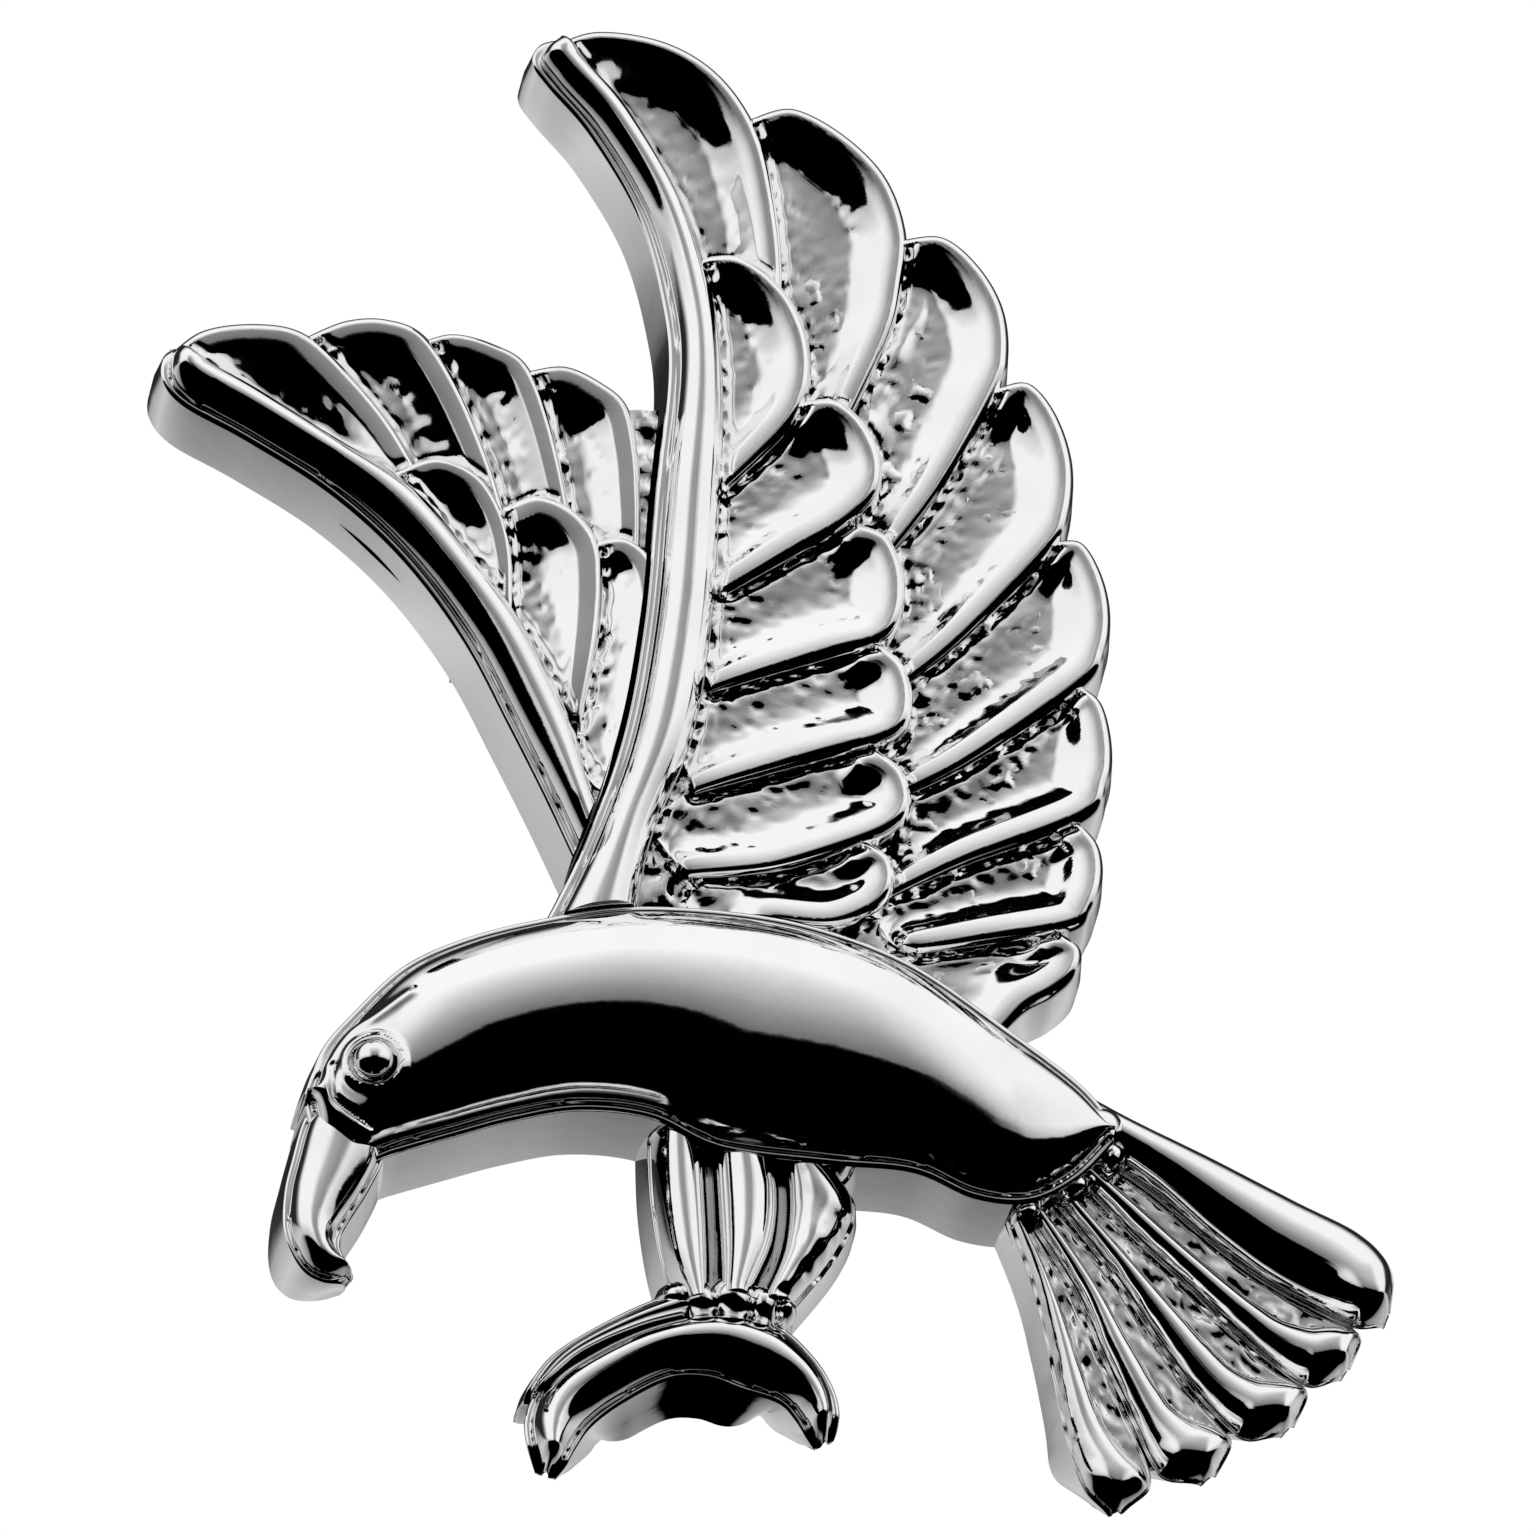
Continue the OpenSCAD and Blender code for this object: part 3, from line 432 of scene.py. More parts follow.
def feather(name, shape, floor, sizes, over, seed, rough, slope, dish=0.28):
    """One feather of a wing: a rounded roll on its exposed edge that falls over slope times its width
    to a dished face. over lists the edges that lie on top of it."""
    edge = smooth_line(shape[0])
    e0, e1 = edge[0], edge[-1]
    hidden = smooth_line([e0 + 0.08 * (np.array(shape[1][-1]) - e0), *shape[1][::-1],
                          e1 + 0.08 * (np.array(shape[1][0]) - e1)])
    row_gap, cols = 0.13, 46
    rows = int(max(length_of(edge), 6) / row_gap)
    across = np.linspace(0, 1, cols) ** 1.6
    plan = strip(edge, hidden, np.linspace(0, 1, rows), across)
    off = distance_to(plan, evenly(edge, FINE_EDGE))
    along = np.repeat(np.linspace(0, 1, rows)[:, None], cols, 1)
    full = fullness(along)
    size = np.clip(off.max() / 3.4, 0.5, 1)
    width = size * sizes.roll_w / MM * (0.5 + 0.6 * full)
    crest = 0.38 * width
    outer = np.sqrt(np.clip(1 - (1 - np.clip(off / crest, 0, 1)) ** 2, 0, 1))
    inner = 1 - eased(off, 0.6 * crest, slope * width)
    roll = size * sizes.roll_h / MM * (0.3 + 0.7 * full) * np.where(off < crest, outer, inner)
    reach = off.max(axis=1, keepdims=True)
    into = np.clip((off - width) / np.maximum(reach - width, 0.3), 0, 1)
    dished = -dish * np.sin(np.pi * into) - 0.12 * into
    inside = eased(off, 0.9 * width, 2.0 * width)
    wear = inside * (0.25 + 0.6 * eased(along, 0.35, 0.95) + 0.6 * eased(into, 0.45, 1) + rough)
    waves = 0.05 * ripple(plan, 1.5, seed) + 0.035 * ripple(plan, 0.5, seed + 7)
    grain = wear * (waves - 0.07 * bubbles(plan, 0.62, seed + 3))
    height = floor + 0.08 + roll + dished + grain + 0.006 * ripple(plan, 1.8, seed + 5)
    nearest = np.minimum.reduce([distance_to(plan, line) for line in over])
    trench = 0.3 * np.exp(-(nearest / 0.22) ** 2) * (1 + 0.35 * ripple(plan, 0.4, seed + 9))
    height = height - trench * (off > 0.3)
    return grid_solid(name, plan, height, 0, np.where(inside[:-1, :-1] > 0.5, CAST, POLISHED),
                      edge_draft(plan, (sizes.draft / MM, 0)))


def edge_draft(plan, flares):
    """How far the back of a strip stands out past its front along its first and last edge."""
    push = np.zeros_like(plan)
    for column, inner, flare in ((0, 1, flares[0]), (-1, -2, flares[1])):
        line = plan[:, column]
        side = beside(line)
        sign = -np.sign((side * (plan[:, inner] - line)).sum(1, keepdims=True))
        push[:, column] = flare * side * sign
    return push


def leading_edge(name, lines, floor, sizes, seed):
    """Rounded leading edge of a wing, with a narrow lip along its outside."""
    outer = smooth_line(lines[0])
    inner = smooth_line(lines[1])
    row_gap, cols = 0.14, 44
    rows = int(length_of(outer) / row_gap)
    plan = strip(outer, inner, bunched(rows), bunched(cols))
    plan, full = rounded_ends(plan, bunched(rows), length_of(outer), (0, 1.0))
    out = distance_to(plan, plan[:, 0])
    back = distance_to(plan, plan[:, -1])
    lip = 0.34
    sunk = 1.2
    across_roll = np.clip((out - lip) / np.maximum(out + back - lip - 0.04, 0.1), 0, 1)
    round_part = np.sqrt(np.clip(1 - (2 * across_roll - 1) ** 2, 0, 1))
    taper = np.minimum(1, np.linalg.norm(plan[:, -1] - plan[:, 0], axis=1) / 1.7)[:, None] ** 0.7
    lip_roll = 0.16 * np.sqrt(np.clip(1 - (2 * np.clip(out / lip, 0, 1) - 1) ** 2, 0, 1))
    height = floor - 0.35 + lip_roll + taper * (sizes.bead_h / MM + 0.3) * round_part
    height = floor - sunk + full * (height - floor + sunk) + 0.008 * ripple(plan, 2.2, seed)
    return grid_solid(name, plan, height, 0, np.full((rows, cols), POLISHED),
                      edge_draft(plan, (sizes.draft / MM, 0)))


def dome(name, lines, floor, crown, sizes, rim, cols, row_gap, fill=None, shape=None,
         caps=(0, 0), drop=0.8, tuck=((0, 0), (0, 0)), flares=None, shelf=0.0):
    """Rounded form between two lines, with a rim of the given width. cols and row_gap set how fine its
    grid is, fill is its share of the crown along it, shape adds relief, caps is the radius that rounds
    off its start and its end, drop how far they fall below its floor, tuck how far the back is drawn in
    there, flares how far it stands out along its two lines, and shelf the share of its width that stays
    flat beside the first line, up to where its end swells."""
    left = smooth_line(lines[0])
    right = smooth_line(lines[1])
    rows = int(max(length_of(left), length_of(right)) / row_gap)
    plan = strip(left, right, bunched(rows), bunched(cols))
    plan, full = rounded_ends(plan, bunched(rows), length_of(left), caps)
    near = distance_to(plan, plan[:, 0])
    far = distance_to(plan, plan[:, -1])
    place = np.clip((near - rim) / np.maximum(near + far - 2 * rim, 0.05), 0, 1)
    along = np.repeat(bunched(rows)[:, None], cols, 1)
    flat = shelf * (1 - eased(along, 0.7, 0.93))
    place = np.clip((place - flat) / (1 - flat), 0, 1)
    belly = np.sqrt(np.clip(1 - (2 * place - 1) ** 2, 0, 1))
    share = 1 if fill is None else fill(along)
    edge = np.minimum(near, far)
    lip = 0.5 * rim * np.sqrt(np.clip(1 - (2 * np.clip(edge / max(rim, 0.01), 0, 1) - 1) ** 2, 0, 1))
    height = floor + lip + crown * share * belly
    if shape is not None:
        height = height + shape(plan, along, place)
    height = floor - drop + full * (height - floor + drop)
    start = (1 - eased(along, 0, 0.35))[..., None] * np.array(tuck[0], float)
    end = eased(along, 0.65, 1)[..., None] * np.array(tuck[1], float)
    push = edge_draft(plan, flares or (sizes.draft / MM, sizes.draft / MM))
    return grid_solid(name, plan, height, 0, np.full((rows, cols), POLISHED), push + start + end)


def web(name, outline, front, seed):
    """Rough sheet of metal behind the feathers."""
    low = np.min(outline, axis=0)
    high = np.max(outline, axis=0)
    gap = 0.16
    rows, cols = ((high - low) / gap).astype(int)
    plan = np.dstack(np.meshgrid(np.linspace(low[0], high[0], rows), np.linspace(low[1], high[1], cols),
                                 indexing="ij"))
    height = front + 0.13 * ripple(plan, 1.1, seed) + 0.07 * ripple(plan, 0.45, seed + 1)
    height = height - 0.12 * bubbles(plan, 0.7, seed + 2)
    sheet = grid_solid(name, plan, height, 0, np.full((rows, cols), CAST))
    room = prism(f"{name}_room", outline, low=-1, high=12, slot=CAST)
    return combine(sheet, [room], "INTERSECT")


def hollow(name, outline, depth):
    """Rounded pocket to cut out of the back."""
    shape = smooth_line(outline, closed=True, cuts=6)
    levels = [(-1, 0), (0, 0), (0.6 * depth, -0.1), (0.85 * depth, -0.2), (depth, -0.42)]
    return stacked(name, shape, levels, HOLLOW)


def wing_hollow(name, outline, sizes):
    """Hollow of a wing, which leaves a little more metal than its skin under the dished feathers."""
    return hollow(name, outline, (sizes.wing_d - sizes.skin) / MM - 0.15)


def prism(name, outline, low, high, slot=POLISHED):
    return stacked(name, np.array(outline, float), [(low, 0), (high, 0)], slot)


def band_outline(lines, grown=0.0, cuts=8):
    """Closed outline between two lines that run side by side, grown outwards."""
    outline = np.vstack([smooth_line(lines[0], cuts=cuts), smooth_line(lines[1], cuts=cuts)[::-1]])
    return outline + grown * outward(outline)


def body_room(name, sizes):
    return prism(name, band_outline(BODY, sizes.seam / MM), *THROUGH)


def solder(name, spots, floor, seed):
    """Uneven solder along a joint: one soft lump for each [x, z, size, height]."""
    sides = 40
    sunk = 0.5
    lumps = []
    for k, (x, z, size, rise) in enumerate(spots):
        turn = np.linspace(0, 2 * np.pi, sides, endpoint=False)
        wave = 1 + 0.1 * np.sin(2 * turn + seed + k) + 0.05 * np.sin(3 * turn + 2.1 * k)
        rings = []
        for lift, share in ((0, 1.0), (0.35, 0.98), (0.7, 0.8), (0.9, 0.52), (0.99, 0.2)):
            rings.append(np.stack([x + size * share * wave * np.cos(turn),
                                   np.full(sides, floor - sunk + (rise + sunk) * lift),
                                   z + size * share * wave * np.sin(turn)], 1))
        lumps.append(ring_solid(f"{name}_{k}", rings, POLISHED))
    return lumps


# ---- materials ------------------------------------------------------------------------------

class Value:
    """A node socket that can be used in Python expressions."""

    def __init__(self, tree, socket=None):
        self.tree = tree
        self.socket = socket

    def node(self, kind, settings=None, inputs=None, out=0):
        """Adds a node: its settings first, then the values or links of its sockets."""
        made = self.tree.nodes.new(kind)
        for name, value in (settings or {}).items():
            if name == "stops":
                ramp = made.color_ramp
                for place, shade in value[1:-1]:
                    ramp.elements.new(place).color = (shade, shade, shade, 1)
                for end in (0, -1):
                    place, shade = value[end]
                    ramp.elements[end].position = place
                    ramp.elements[end].color = (shade, shade, shade, 1)
            else:
                setattr(made, name, value)
        for name, value in (inputs or {}).items():
            if isinstance(value, Value):
                self.tree.links.new(value.socket, made.inputs[name])
            else:
                made.inputs[name].default_value = value
        return Value(self.tree, made.outputs[out] if made.outputs else None)

    def maths(self, operation, *values):
        return self.node("ShaderNodeMath", {"operation": operation}, dict(enumerate(values)))

    def __add__(self, other):
        return self.maths("ADD", self, other)

    def __radd__(self, other):
        return self.maths("ADD", other, self)

    def __sub__(self, other):
        return self.maths("SUBTRACT", self, other)

    def __rsub__(self, other):
        return self.maths("SUBTRACT", other, self)

    def __mul__(self, other):
        return self.maths("MULTIPLY", self, other)

    def __rmul__(self, other):
        return self.maths("MULTIPLY", other, self)

    def __neg__(self):
        return self.maths("MULTIPLY", self, -1.0)

    def between(self, low, high):
        """0 below low, 1 above high and smooth between."""
        return self.node("ShaderNodeMapRange", {"interpolation_type": "SMOOTHSTEP"},
                         {"Value": self, "From Min": low, "From Max": high})

    def mixed(self, other, factor):
        """This value where factor is 0, the other where it is 1."""
        return self + (other - self) * factor


def empty_tree(owner):
    """Clears the nodes of a material or a world, and gives the value that new ones start from."""
    owner.use_nodes = True
    owner.node_tree.nodes.clear()
    return Value(owner.node_tree)


def metal_shader(start, colour, worn, share, rough, bump):
    """Metal of a colour that falls to a share of itself where it is worn."""
    tint = start.node("ShaderNodeMix", {"data_type": "RGBA"}, {0: worn}, out=2)
    mix = tint.socket.node
    mix.inputs[6].default_value = (*colour, 1)
    mix.inputs[7].default_value = (*[c * share for c in colour], 1)
    shader = start.node("ShaderNodeBsdfPrincipled", None, {
        "Base Color": tint, "Metallic": 1.0, "Roughness": rough, "Normal": bump})
    start.node("ShaderNodeOutputMaterial", None, {"Surface": shader})


def plate_material(name, colour, rough, rough_spread, grain, grain_size, pits=0.0):
    """Plated metal: even roughness with faint smears, and a fine grain of a given height and size."""
    material = bpy.data.materials.new(name)
    start = empty_tree(material)
    at = start.node("ShaderNodeTexCoord", out=3)
    fine = start.node("ShaderNodeTexNoise", None, {"Vector": at, "Scale": 1 / grain_size, "Detail": 4.0})
    smear = start.node("ShaderNodeTexNoise", None, {"Vector": at, "Scale": 260.0, "Detail": 3.0})
    relief = fine
    if pits:
        cells = start.node("ShaderNodeTexVoronoi", None, {"Vector": at, "Scale": 0.7 / grain_size})
        relief = fine - (1 - cells.between(0.1, 0.4)) * pits
    bump = start.node("ShaderNodeBump", None, {"Height": relief, "Distance": grain, "Strength": 1.0})
    cloud = smear.between(0.35, 0.7)
    metal_shader(start, colour, cloud, 0.94, rough + cloud * rough_spread, bump)


def wire_material(name, colour, axis):
    """Satin drawn metal with fine scratches that run along one axis."""
    material = bpy.data.materials.new(name)
    start = empty_tree(material)
    stretch = [9000.0, 9000.0, 9000.0]
    stretch[axis] = 400.0
    at = start.node("ShaderNodeTexCoord", out=3)
    drawn = start.node("ShaderNodeMapping", None, {"Vector": at, "Scale": stretch})
    lines = start.node("ShaderNodeTexNoise", None, {"Vector": drawn, "Scale": 1.0, "Detail": 3.0})
    patches = start.node("ShaderNodeTexNoise", None, {"Vector": at, "Scale": 500.0, "Detail": 2.0})
    worn = patches.between(0.4, 0.75)
    bump = start.node("ShaderNodeBump", None, {"Height": lines, "Distance": 0.00002, "Strength": 0.6})
    metal_shader(start, colour, worn, 0.86, 0.2 + lines * 0.14 + worn * 0.08, bump)
    return material


# ---- settings -------------------------------------------------------------------------------

class CastingSizes(bpy.types.PropertyGroup):
    wing_d: bpy.props.FloatProperty(
        name="Wing depth", description="Back rim to feather floor", default=3.3 * MM, unit="LENGTH")
    row_step: bpy.props.FloatProperty(
        name="Row step", description="Step up to the second feather row", default=0.5 * MM, unit="LENGTH")
    roll_h: bpy.props.FloatProperty(
        name="Roll height", description="Height of the roll on a feather edge", default=0.6 * MM,
        unit="LENGTH")
    roll_w: bpy.props.FloatProperty(
        name="Roll width", description="Width of the roll on a feather edge", default=0.95 * MM,
        unit="LENGTH")
    bead_h: bpy.props.FloatProperty(
        name="Leading edge height", description="Height of the rounded leading edge", default=1.1 * MM,
        unit="LENGTH")
    body_d: bpy.props.FloatProperty(
        name="Body depth", description="Back rim to shoulder of the body", default=4.2 * MM,
        unit="LENGTH")
    body_crown: bpy.props.FloatProperty(
        name="Breast height", description="Height of the domed breast", default=2.8 * MM, unit="LENGTH")
    tail_d: bpy.props.FloatProperty(
        name="Tail depth", description="Back rim to the tail feathers", default=2.7 * MM, unit="LENGTH")
    foot_d: bpy.props.FloatProperty(
        name="Foot depth", description="Back rim to the talons", default=2.6 * MM, unit="LENGTH")
    skin: bpy.props.FloatProperty(
        name="Skin", description="Metal left over the hollow back", default=1.0 * MM, unit="LENGTH")
    seam: bpy.props.FloatProperty(
        name="Seam", description="Gap of the butted seams", default=0.03 * MM, unit="LENGTH")
    draft: bpy.props.FloatProperty(
        name="Draft", description="How far the back rim stands out past the front", default=0.16 * MM,
        unit="LENGTH")


class PlatingColours(bpy.types.PropertyGroup):
    bright: bpy.props.FloatVectorProperty(
        name="Bright plate", description="Colour of the polished plating", default=(0.93, 0.93, 0.94),
        subtype="COLOR", min=0, max=1)
    satin: bpy.props.FloatVectorProperty(
        name="Satin wire", description="Colour of the pin and catch", default=(0.72, 0.73, 0.76),
        subtype="COLOR", min=0, max=1)
    floor: bpy.props.FloatVectorProperty(
        name="Floor", description="Colour of the studio floor", default=(0.93, 0.93, 0.93),
        subtype="COLOR", min=0, max=1)


# ---- pieces ---------------------------------------------------------------------------------

def feather_rows(name, primaries, coverts, bead, sizes, seed, rough, slope):
    """All the feathers of a wing, with those lying on top of each one trenched into it."""
    floor = sizes.wing_d / MM
    raised = floor + sizes.row_step / MM
    bead_line = evenly(smooth_line(bead[1]), FINE_EDGE)
    covert_edges = [evenly(smooth_line(shape[0]), EDGE) for shape in coverts]
    solids = []
    before = [bead_line, *covert_edges]
    for k, shape in enumerate(primaries):
        solids.append(feather(f"{name}_primary_{k}", shape, floor, sizes, before, seed + k, rough,
                              slope))
        before = [bead_line, *covert_edges, evenly(smooth_line(shape[0]), EDGE)]
    before = [bead_line]
    for k, shape in enumerate(coverts):
        solids.append(feather(f"{name}_covert_{k}", shape, raised, sizes, before, seed + 20 + k,
                              rough + 0.15, slope, dish=0.15))
        before = [bead_line, covert_edges[k]]
    return solids


class BROOCH_OT_finishes(bpy.types.Operator):
    """Makes the plated finishes and puts the satin ones on the pin and catch"""
    bl_idname = "brooch.finishes"
    bl_label = "Finishes"

    def execute(self, context):
        colours = context.scene.brooch_colours
        bright = tuple(colours.bright)
        dull = tuple(c * 0.8 for c in bright)
        plate_material("polished_plate", bright, 0.035, 0.03, 0.000006, 0.0009)
        plate_material("cast_plate", bright, 0.06, 0.06, 0.00005, 0.00035, pits=0.5)
        plate_material("hollow_plate", dull, 0.24, 0.12, 0.00012, 0.0005, pits=0.4)
        satin = tuple(colours.satin)
        along_x = wire_material("satin_wire", satin, 0)
        along_z = wire_material("satin_bar", satin, 2)
        for name in ("pin_stem", "catch_rotor", "catch_housing", "pin_bar"):
            dress(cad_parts[name], along_x)
        for name in ("hinge_base", "hinge_rivet"):
            dress(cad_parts[name], along_z)
        dress(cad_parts["eye"], bpy.data.materials["polished_plate"])
        return {"FINISHED"}


class BROOCH_OT_near_wing(bpy.types.Operator):
    """Builds the raised near wing: two rows of feathers and a rounded leading edge on a hollow back"""
    bl_idname = "brooch.near_wing"
    bl_label = "Near Wing"

    def execute(self, context):
        sizes = context.scene.brooch_sizes
        floor = sizes.wing_d / MM
        base = web("near_web", NEAR_WEB, floor - 0.3, 81)
        solids = feather_rows("near", NEAR_PRIMARIES, NEAR_COVERTS, NEAR_BEAD, sizes, 1, 0.0, 2.1)
        solids.append(leading_edge("near_bead", NEAR_BEAD, floor + sizes.row_step / MM + 0.2, sizes, 60))
        wing = combine(base, solids, "UNION")
        cuts = [wing_hollow("near_hollow", NEAR_HOLLOW, sizes), body_room("near_room", sizes)]
        combine(wing, cuts, "DIFFERENCE")
        finish_casting(wing, "near_wing_casting", ["near_wing"])
        return {"FINISHED"}


class BROOCH_OT_far_wing(bpy.types.Operator):
    """Builds the far wing, cut back where the near wing and the body cover it"""
    bl_idname = "brooch.far_wing"
    bl_label = "Far Wing"

    def execute(self, context):
        sizes = context.scene.brooch_sizes
        floor = sizes.wing_d / MM
        base = web("far_web", FAR_WEB, floor - 0.25, 181)
        solids = feather_rows("far", FAR_PRIMARIES, FAR_COVERTS, FAR_BEAD, sizes, 101, 0.1, 3.2)
        solids.append(leading_edge("far_bead", FAR_BEAD, floor + sizes.row_step / MM + 0.2, sizes, 160))
        wing = combine(base, solids, "UNION")
        edge = smooth_line(NEAR_BEAD[0], cuts=8)
        room = np.vstack([edge - (sizes.draft + sizes.seam) / MM * beside(edge), [[8, 22], [8, -14]]])
        cuts = [wing_hollow("far_hollow", FAR_HOLLOW, sizes), body_room("far_room", sizes),
                prism("near_side", room, *THROUGH)]
        combine(wing, cuts, "DIFFERENCE")
        finish_casting(wing, "far_wing_casting", ["far_wing"])
        return {"FINISHED"}


def breast_fill(along):
    """Share of the breast's height: lower over the head and where the tail joins."""
    head = 0.45 + 0.55 * np.sin(np.pi / 2 * np.minimum(1, 2.4 * along))
    rump = 0.3 + 0.7 * np.sin(np.pi / 2 * np.minimum(1, 2.4 * (1 - along)))
    return np.minimum(head, rump)


def head_relief(plan, along, place):
    """Brow, socket ring and cheek of the head."""
    from_eye = np.hypot(plan[..., 0] - EYE[0], plan[..., 1] - EYE[1])
    ring = 0.22 * np.exp(-((from_eye - 1.02) / 0.16) ** 2)
    socket = -0.3 * (1 - eased(from_eye, 0.62, 0.92))
    brow_line = smooth_line([[-16.2, -18.9], [-15.3, -17.7], [-14.4, -17.2], [-13.2, -16.3]])
    brow = 0.2 * np.exp(-(distance_to(plan, evenly(brow_line, 30)) / 0.22) ** 2)
    cheek_line = smooth_line([[-15.9, -19.0], [-15.9, -20.2], [-15.2, -20.9], [-14.5, -21.3]])
    cheek = -0.22 * np.exp(-(distance_to(plan, evenly(cheek_line, 30)) / 0.13) ** 2)
    return ring + socket + brow + cheek


class BROOCH_OT_body(bpy.types.Operator):
    """Builds the smooth domed body with its head and hooked beak"""
    bl_idname = "brooch.body"
    bl_label = "Body and Head"

    def execute(self, context):
        sizes = context.scene.brooch_sizes
        body = dome("body", BODY, sizes.body_d / MM, sizes.body_crown / MM, sizes, rim=0.32, cols=120,
                    row_gap=0.12, fill=breast_fill, shape=head_relief)
        beak = dome("beak", BEAK, sizes.body_d / MM - 0.2, 1.3, sizes, rim=0.22, cols=44, row_gap=0.08,
                    caps=(0, 0.7), tuck=((0, 0), (0.1, 1.0)))
        combine(body, [beak], "UNION")
        ball = bpy.data.objects.new("eye_room", socket_mesh(sizes))
        context.scene.collection.objects.link(ball)
        cuts = [hollow("body_hollow", BODY_HOLLOW, (sizes.body_d - sizes.skin) / MM), ball]
        combine(body, cuts, "DIFFERENCE")
        finish_casting(body, "body_casting", ["body"])
        return {"FINISHED"}


def socket_mesh(sizes):
    """Ball a little larger than the eye, to seat it in."""
    low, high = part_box("eye")
    middle = (low + high) / 2
    radius = (high.x - low.x) / 2 + sizes.seam
    rings, sides = 24, 40
    verts = [middle + Vector((0, 0, radius))]
    for i in range(1, rings):
        tilt = math.pi * i / rings
        for j in range(sides):
            turn = 2 * math.pi * j / sides
            verts.append(middle + radius * Vector((math.sin(tilt) * math.cos(turn),
                                                   math.sin(tilt) * math.sin(turn), math.cos(tilt))))
    verts.append(middle - Vector((0, 0, radius)))
    faces = [(0, 1 + j, 1 + (j + 1) % sides) for j in range(sides)]
    for i in range(rings - 2):
        for j in range(sides):
            a = 1 + i * sides + j
            b = 1 + i * sides + (j + 1) % sides
            faces.append((a, a + sides, b + sides, b))
    last = len(verts) - 1
    faces += [(last, last - sides + (j + 1) % sides, last - sides + j) for j in range(sides)]
    mesh = bpy.data.meshes.new("eye_room")
    mesh.from_pydata(verts, [], faces)
    return mesh


def tail_relief(wide):
    """Swelling and pitted edges of a tail feather; a wide one is smooth."""
    def relief(plan, along, place):
        edge = np.minimum(place, 1 - place)
        pits = (1 - eased(edge, 0.02, 0.3)) * (1 - eased(along, 0.7, 0.9))
        waves = 0.05 * ripple(plan, 0.7, 31) + 0.03 * ripple(plan, 0.35, 37)
        waves = waves - 0.06 * bubbles(plan, 0.6, 35)
        swell = 0.3 * np.exp(-((along - 0.9) / 0.1) ** 2) * np.sin(np.pi * place)
        return swell + (0.1 if wide else 1.0) * pits * waves
    return relief


class BROOCH_OT_tail(bpy.types.Operator):
    """Builds the fan of five rounded tail feathers"""
    bl_idname = "brooch.tail"
    bl_label = "Tail Fan"

    def execute(self, context):
        sizes = context.scene.brooch_sizes
        floor = sizes.tail_d / MM
        base = web("tail_web", TAIL_WEB, floor - 0.3, 281)
        solids = []
        for k, lines in enumerate(TAIL):
            crown, shelf = (0.85, 0.36) if k else (1.5, 0.0)
            solids.append(dome(f"tail_{k}", lines, floor, crown, sizes, rim=0.1, cols=56, row_gap=0.13,
                               shape=tail_relief(k == 0), caps=(0, 1.0), drop=1.1,
                               tuck=((0, 0), (-0.7, 1.6)), shelf=shelf))
        tail = combine(base, solids, "UNION")
        cuts = [hollow("tail_hollow", TAIL_HOLLOW, (sizes.tail_d - sizes.skin) / MM),
                body_room("tail_room", sizes)]
        combine(tail, cuts, "DIFFERENCE")
        finish_casting(tail, "tail_casting", ["tail_fan"])
        return {"FINISHED"}


def hammered(seed):
    """Shallow dents of a hammered surface, deepest at its outer side."""
    def relief(plan, along, place):
        dents = -0.16 * bubbles(plan, 0.95, seed) + 0.05 * ripple(plan, 1.1, seed + 1)
        return dents * eased(place, 0.2, 0.6)
    return relief


class BROOCH_OT_legs(bpy.types.Operator):
    """Builds the thighs and the talons below them"""
    bl_idname = "brooch.legs"
    bl_label = "Thighs and Talons"

    def execute(self, context):
        sizes = context.scene.brooch_sizes
        floor = sizes.foot_d / MM
        forms = zip(THIGHS, (1.6, 2.0, 1.7), (None, None, hammered(5)))
        lobes = [dome(f"thigh_{k}", lines, floor, crown, sizes, rim=0.12, cols=40, row_gap=0.12,
                      shape=shape)
                 for k, (lines, crown, shape) in enumerate(forms)]
        thighs = combine(lobes[0], lobes[1:], "UNION")
        combine(thighs, [body_room("thigh_room", sizes)], "DIFFERENCE")
        finish_casting(thighs, "thighs_casting", ["thighs"])
        near = dome("near_talon", NEAR_TALON, floor, 1.6, sizes, rim=0.26, cols=56, row_gap=0.12,
                    caps=(0.9, 0.9), drop=1.0, tuck=((0.6, 1.8), (-0.6, 1.7)),
                    flares=(sizes.draft / MM, 0.6))
        far = dome("far_talon", FAR_TALON, floor, 1.0, sizes, rim=0.2, cols=36, row_gap=0.12,
                   caps=(0.7, 0))
        talons = combine(near, [far], "UNION")
        rooms = [prism(f"thigh_gap_{k}", band_outline(lines, sizes.seam / MM), *THROUGH)
                 for k, lines in enumerate(THIGHS)]
        combine(talons, rooms, "DIFFERENCE")
        finish_casting(talons, "talons_casting", ["talons"])
        return {"FINISHED"}


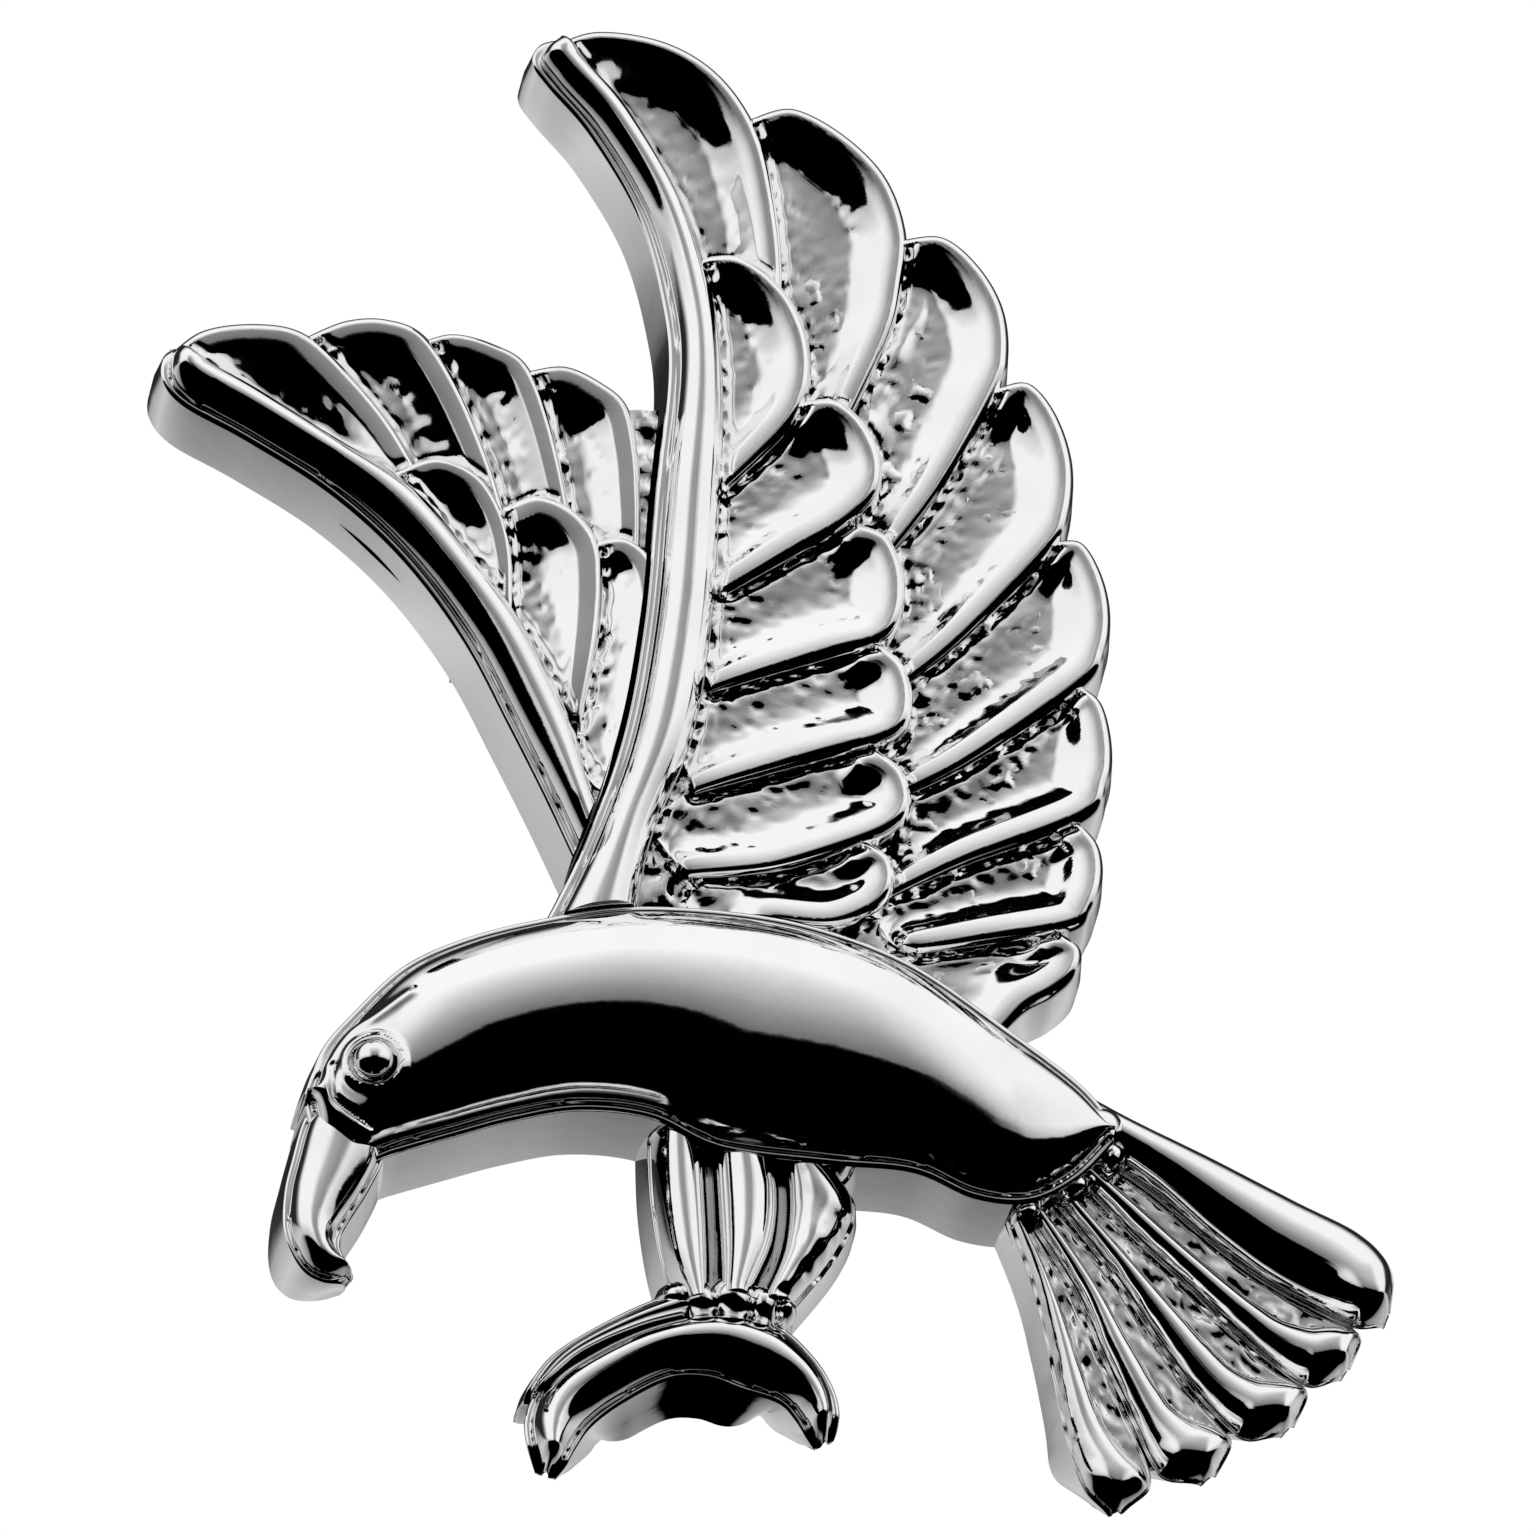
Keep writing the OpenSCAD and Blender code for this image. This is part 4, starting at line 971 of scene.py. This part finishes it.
class BROOCH_OT_solder(bpy.types.Operator):
    """Runs uneven solder over the joints of the tail and the feet"""
    bl_idname = "brooch.solder"
    bl_label = "Solder"

    def execute(self, context):
        sizes = context.scene.brooch_sizes
        tail_spots = [[11.6, -19.9, 1.05, 1.5], [10.6, -20.9, 0.95, 1.35], [9.6, -21.9, 0.9, 1.3],
                      [12.2, -20.9, 0.6, 1.0], [10.9, -22.0, 0.6, 0.9], [9.2, -23.0, 0.5, 0.8]]
        foot_spots = [[-3.3, -26.5, 0.7, 1.1], [-2.5, -26.7, 0.85, 1.5], [-1.4, -26.6, 0.95, 1.75],
                      [-0.3, -26.8, 0.8, 1.5], [0.5, -26.8, 0.5, 1.0]]
        for name, spots, floor in (("tail_solder", tail_spots, sizes.tail_d / MM + 0.6),
                                   ("foot_solder", foot_spots, sizes.foot_d / MM)):
            lumps = solder(name, spots, floor, 2)
            joint = combine(lumps[0], lumps[1:], "UNION")
            joint.name = name
            dress(joint, bpy.data.materials["polished_plate"])
            joint.data.shade_smooth()
            joint.data.set_sharp_from_angle(angle=math.radians(SHARP_SOLDER))
            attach(joint, "brooch")
        return {"FINISHED"}


# ---- stage ----------------------------------------------------------------------------------

def studio_world(scene):
    """Plain pale studio: light above and beside, dark below the horizon, and grey behind."""
    world = bpy.data.worlds.new("studio")
    scene.world = world
    start = empty_tree(world)
    way = start.node("ShaderNodeTexCoord", out=0)
    parts = start.node("ShaderNodeSeparateXYZ", None, {"Vector": way})
    split = parts.socket.node
    x, y, z = (Value(start.tree, split.outputs[k]) for k in range(3))
    turn = start.maths("ARCTAN2", z, -y) * (0.5 / math.pi) + 0.5
    # light seen in each direction around the X axis: 0 degrees is level to the front, 90 is up
    degrees = ((-180, 0.62), (-166, 0.4), (-152, 0.2), (-148, 0.0), (4, 0.0), (5.5, 0.17), (20, 0.33),
               (38, 0.62), (58, 1.0), (98, 1.0), (114, 0.4), (122, 0.02), (160, 0.02), (166, 0.4),
               (180, 0.62))
    stops = [((angle + 180) / 360, shade) for angle, shade in degrees]
    upright = start.node("ShaderNodeValToRGB", {"stops": stops}, {"Fac": turn})
    heights = ((0.0, 0.0), (0.47, 0.0), (0.485, 0.55), (0.6, 0.95), (1.0, 1.0))
    level = start.node("ShaderNodeValToRGB", {"stops": heights}, {"Fac": z * 0.5 + 0.5})
    aside = start.maths("ABSOLUTE", x).between(0.24, 0.6) * (1 - y.between(0.0, 0.5))
    light = upright.mixed(level, aside)
    seen = start.node("ShaderNodeLightPath", out=0)
    shown = light.mixed(1.0, seen)
    background = start.node("ShaderNodeBackground", None, {"Color": shown, "Strength": 1.0})
    start.node("ShaderNodeOutputWorld", None, {"Surface": background})


class BROOCH_OT_stage(bpy.types.Operator):
    """Sets up the pale floor, the soft studio light and the camera"""
    bl_idname = "brooch.stage"
    bl_label = "Stage"

    def execute(self, context):
        scene = context.scene
        studio_world(scene)
        scene.view_settings.view_transform = "Standard"
        bpy.ops.mesh.primitive_plane_add(size=40, location=(0, 0, -0.5))
        floor = context.object
        floor.name = "studio_floor"
        floor.visible_glossy = False
        material = bpy.data.materials.new("studio_floor")
        material.use_nodes = True
        start = Value(material.node_tree)
        at = start.node("ShaderNodeTexCoord", out=3)
        mottle = start.node("ShaderNodeTexNoise", None, {"Vector": at, "Scale": 6.0})
        shader = material.node_tree.nodes["Principled BSDF"]
        shader.inputs["Base Color"].default_value = (*scene.brooch_colours.floor, 1)
        rough = mottle * 0.1 + 0.7
        material.node_tree.links.new(rough.socket, shader.inputs["Roughness"])
        floor.data.materials.append(material)
        light = bpy.data.lights.new("softbox", "AREA")
        light.shape = "RECTANGLE"
        light.size = 0.6
        light.size_y = 0.5
        light.energy = 3.0
        softbox = bpy.data.objects.new("softbox", light)
        softbox.location = (-0.25, -0.45, 0.75)
        softbox.rotation_euler = (-softbox.location).to_track_quat("-Z", "Y").to_euler()
        softbox.visible_glossy = False
        scene.collection.objects.link(softbox)
        self.place_camera(scene)
        return {"FINISHED"}

    def place_camera(self, scene):
        """A long lens slightly to the left of the front and 20 degrees below it."""
        lens, sensor, view_width = 800.0, 36.0, 0.05503
        aim = Vector((-0.0002, -0.0043, -0.00674))
        turn, tilt = math.radians(-5.8), math.radians(-20)
        away = Vector((math.sin(turn) * math.cos(tilt), -math.cos(turn) * math.cos(tilt), math.sin(tilt)))
        data = bpy.data.cameras.new("camera")
        data.lens = lens
        data.sensor_width = sensor
        data.clip_start = 0.01
        camera = bpy.data.objects.new("camera", data)
        camera.location = aim + away * (view_width * lens / sensor)
        camera.rotation_euler = (-away).to_track_quat("-Z", "Y").to_euler()
        scene.collection.objects.link(camera)
        scene.camera = camera


class BROOCH_PT_panel(bpy.types.Panel):
    """Lists the steps that build the brooch"""
    bl_idname = "BROOCH_PT_panel"
    bl_label = "Eagle Brooch"
    bl_space_type = "VIEW_3D"
    bl_region_type = "UI"
    bl_category = "Brooch"

    def draw(self, context):
        for group in (context.scene.brooch_sizes, context.scene.brooch_colours):
            for name in group.__annotations__:
                self.layout.prop(group, name)
        for step in STEPS:
            self.layout.operator(step.bl_idname)


STEPS = (BROOCH_OT_finishes, BROOCH_OT_near_wing, BROOCH_OT_far_wing, BROOCH_OT_body, BROOCH_OT_tail,
         BROOCH_OT_legs, BROOCH_OT_solder, BROOCH_OT_stage)
GROUPS = (CastingSizes, PlatingColours)


def register():
    for kind in (*GROUPS, *STEPS, BROOCH_PT_panel):
        bpy.utils.register_class(kind)
    bpy.types.Scene.brooch_sizes = bpy.props.PointerProperty(type=CastingSizes)
    bpy.types.Scene.brooch_colours = bpy.props.PointerProperty(type=PlatingColours)


def unregister():
    del bpy.types.Scene.brooch_colours
    del bpy.types.Scene.brooch_sizes
    for kind in reversed((*GROUPS, *STEPS, BROOCH_PT_panel)):
        bpy.utils.unregister_class(kind)


def main():
    register()
    bpy.ops.brooch.finishes()
    bpy.ops.brooch.near_wing()
    bpy.ops.brooch.far_wing()
    bpy.ops.brooch.body()
    bpy.ops.brooch.tail()
    bpy.ops.brooch.legs()
    bpy.ops.brooch.solder()
    bpy.ops.brooch.stage()


if __name__ == "__main__":
    main()
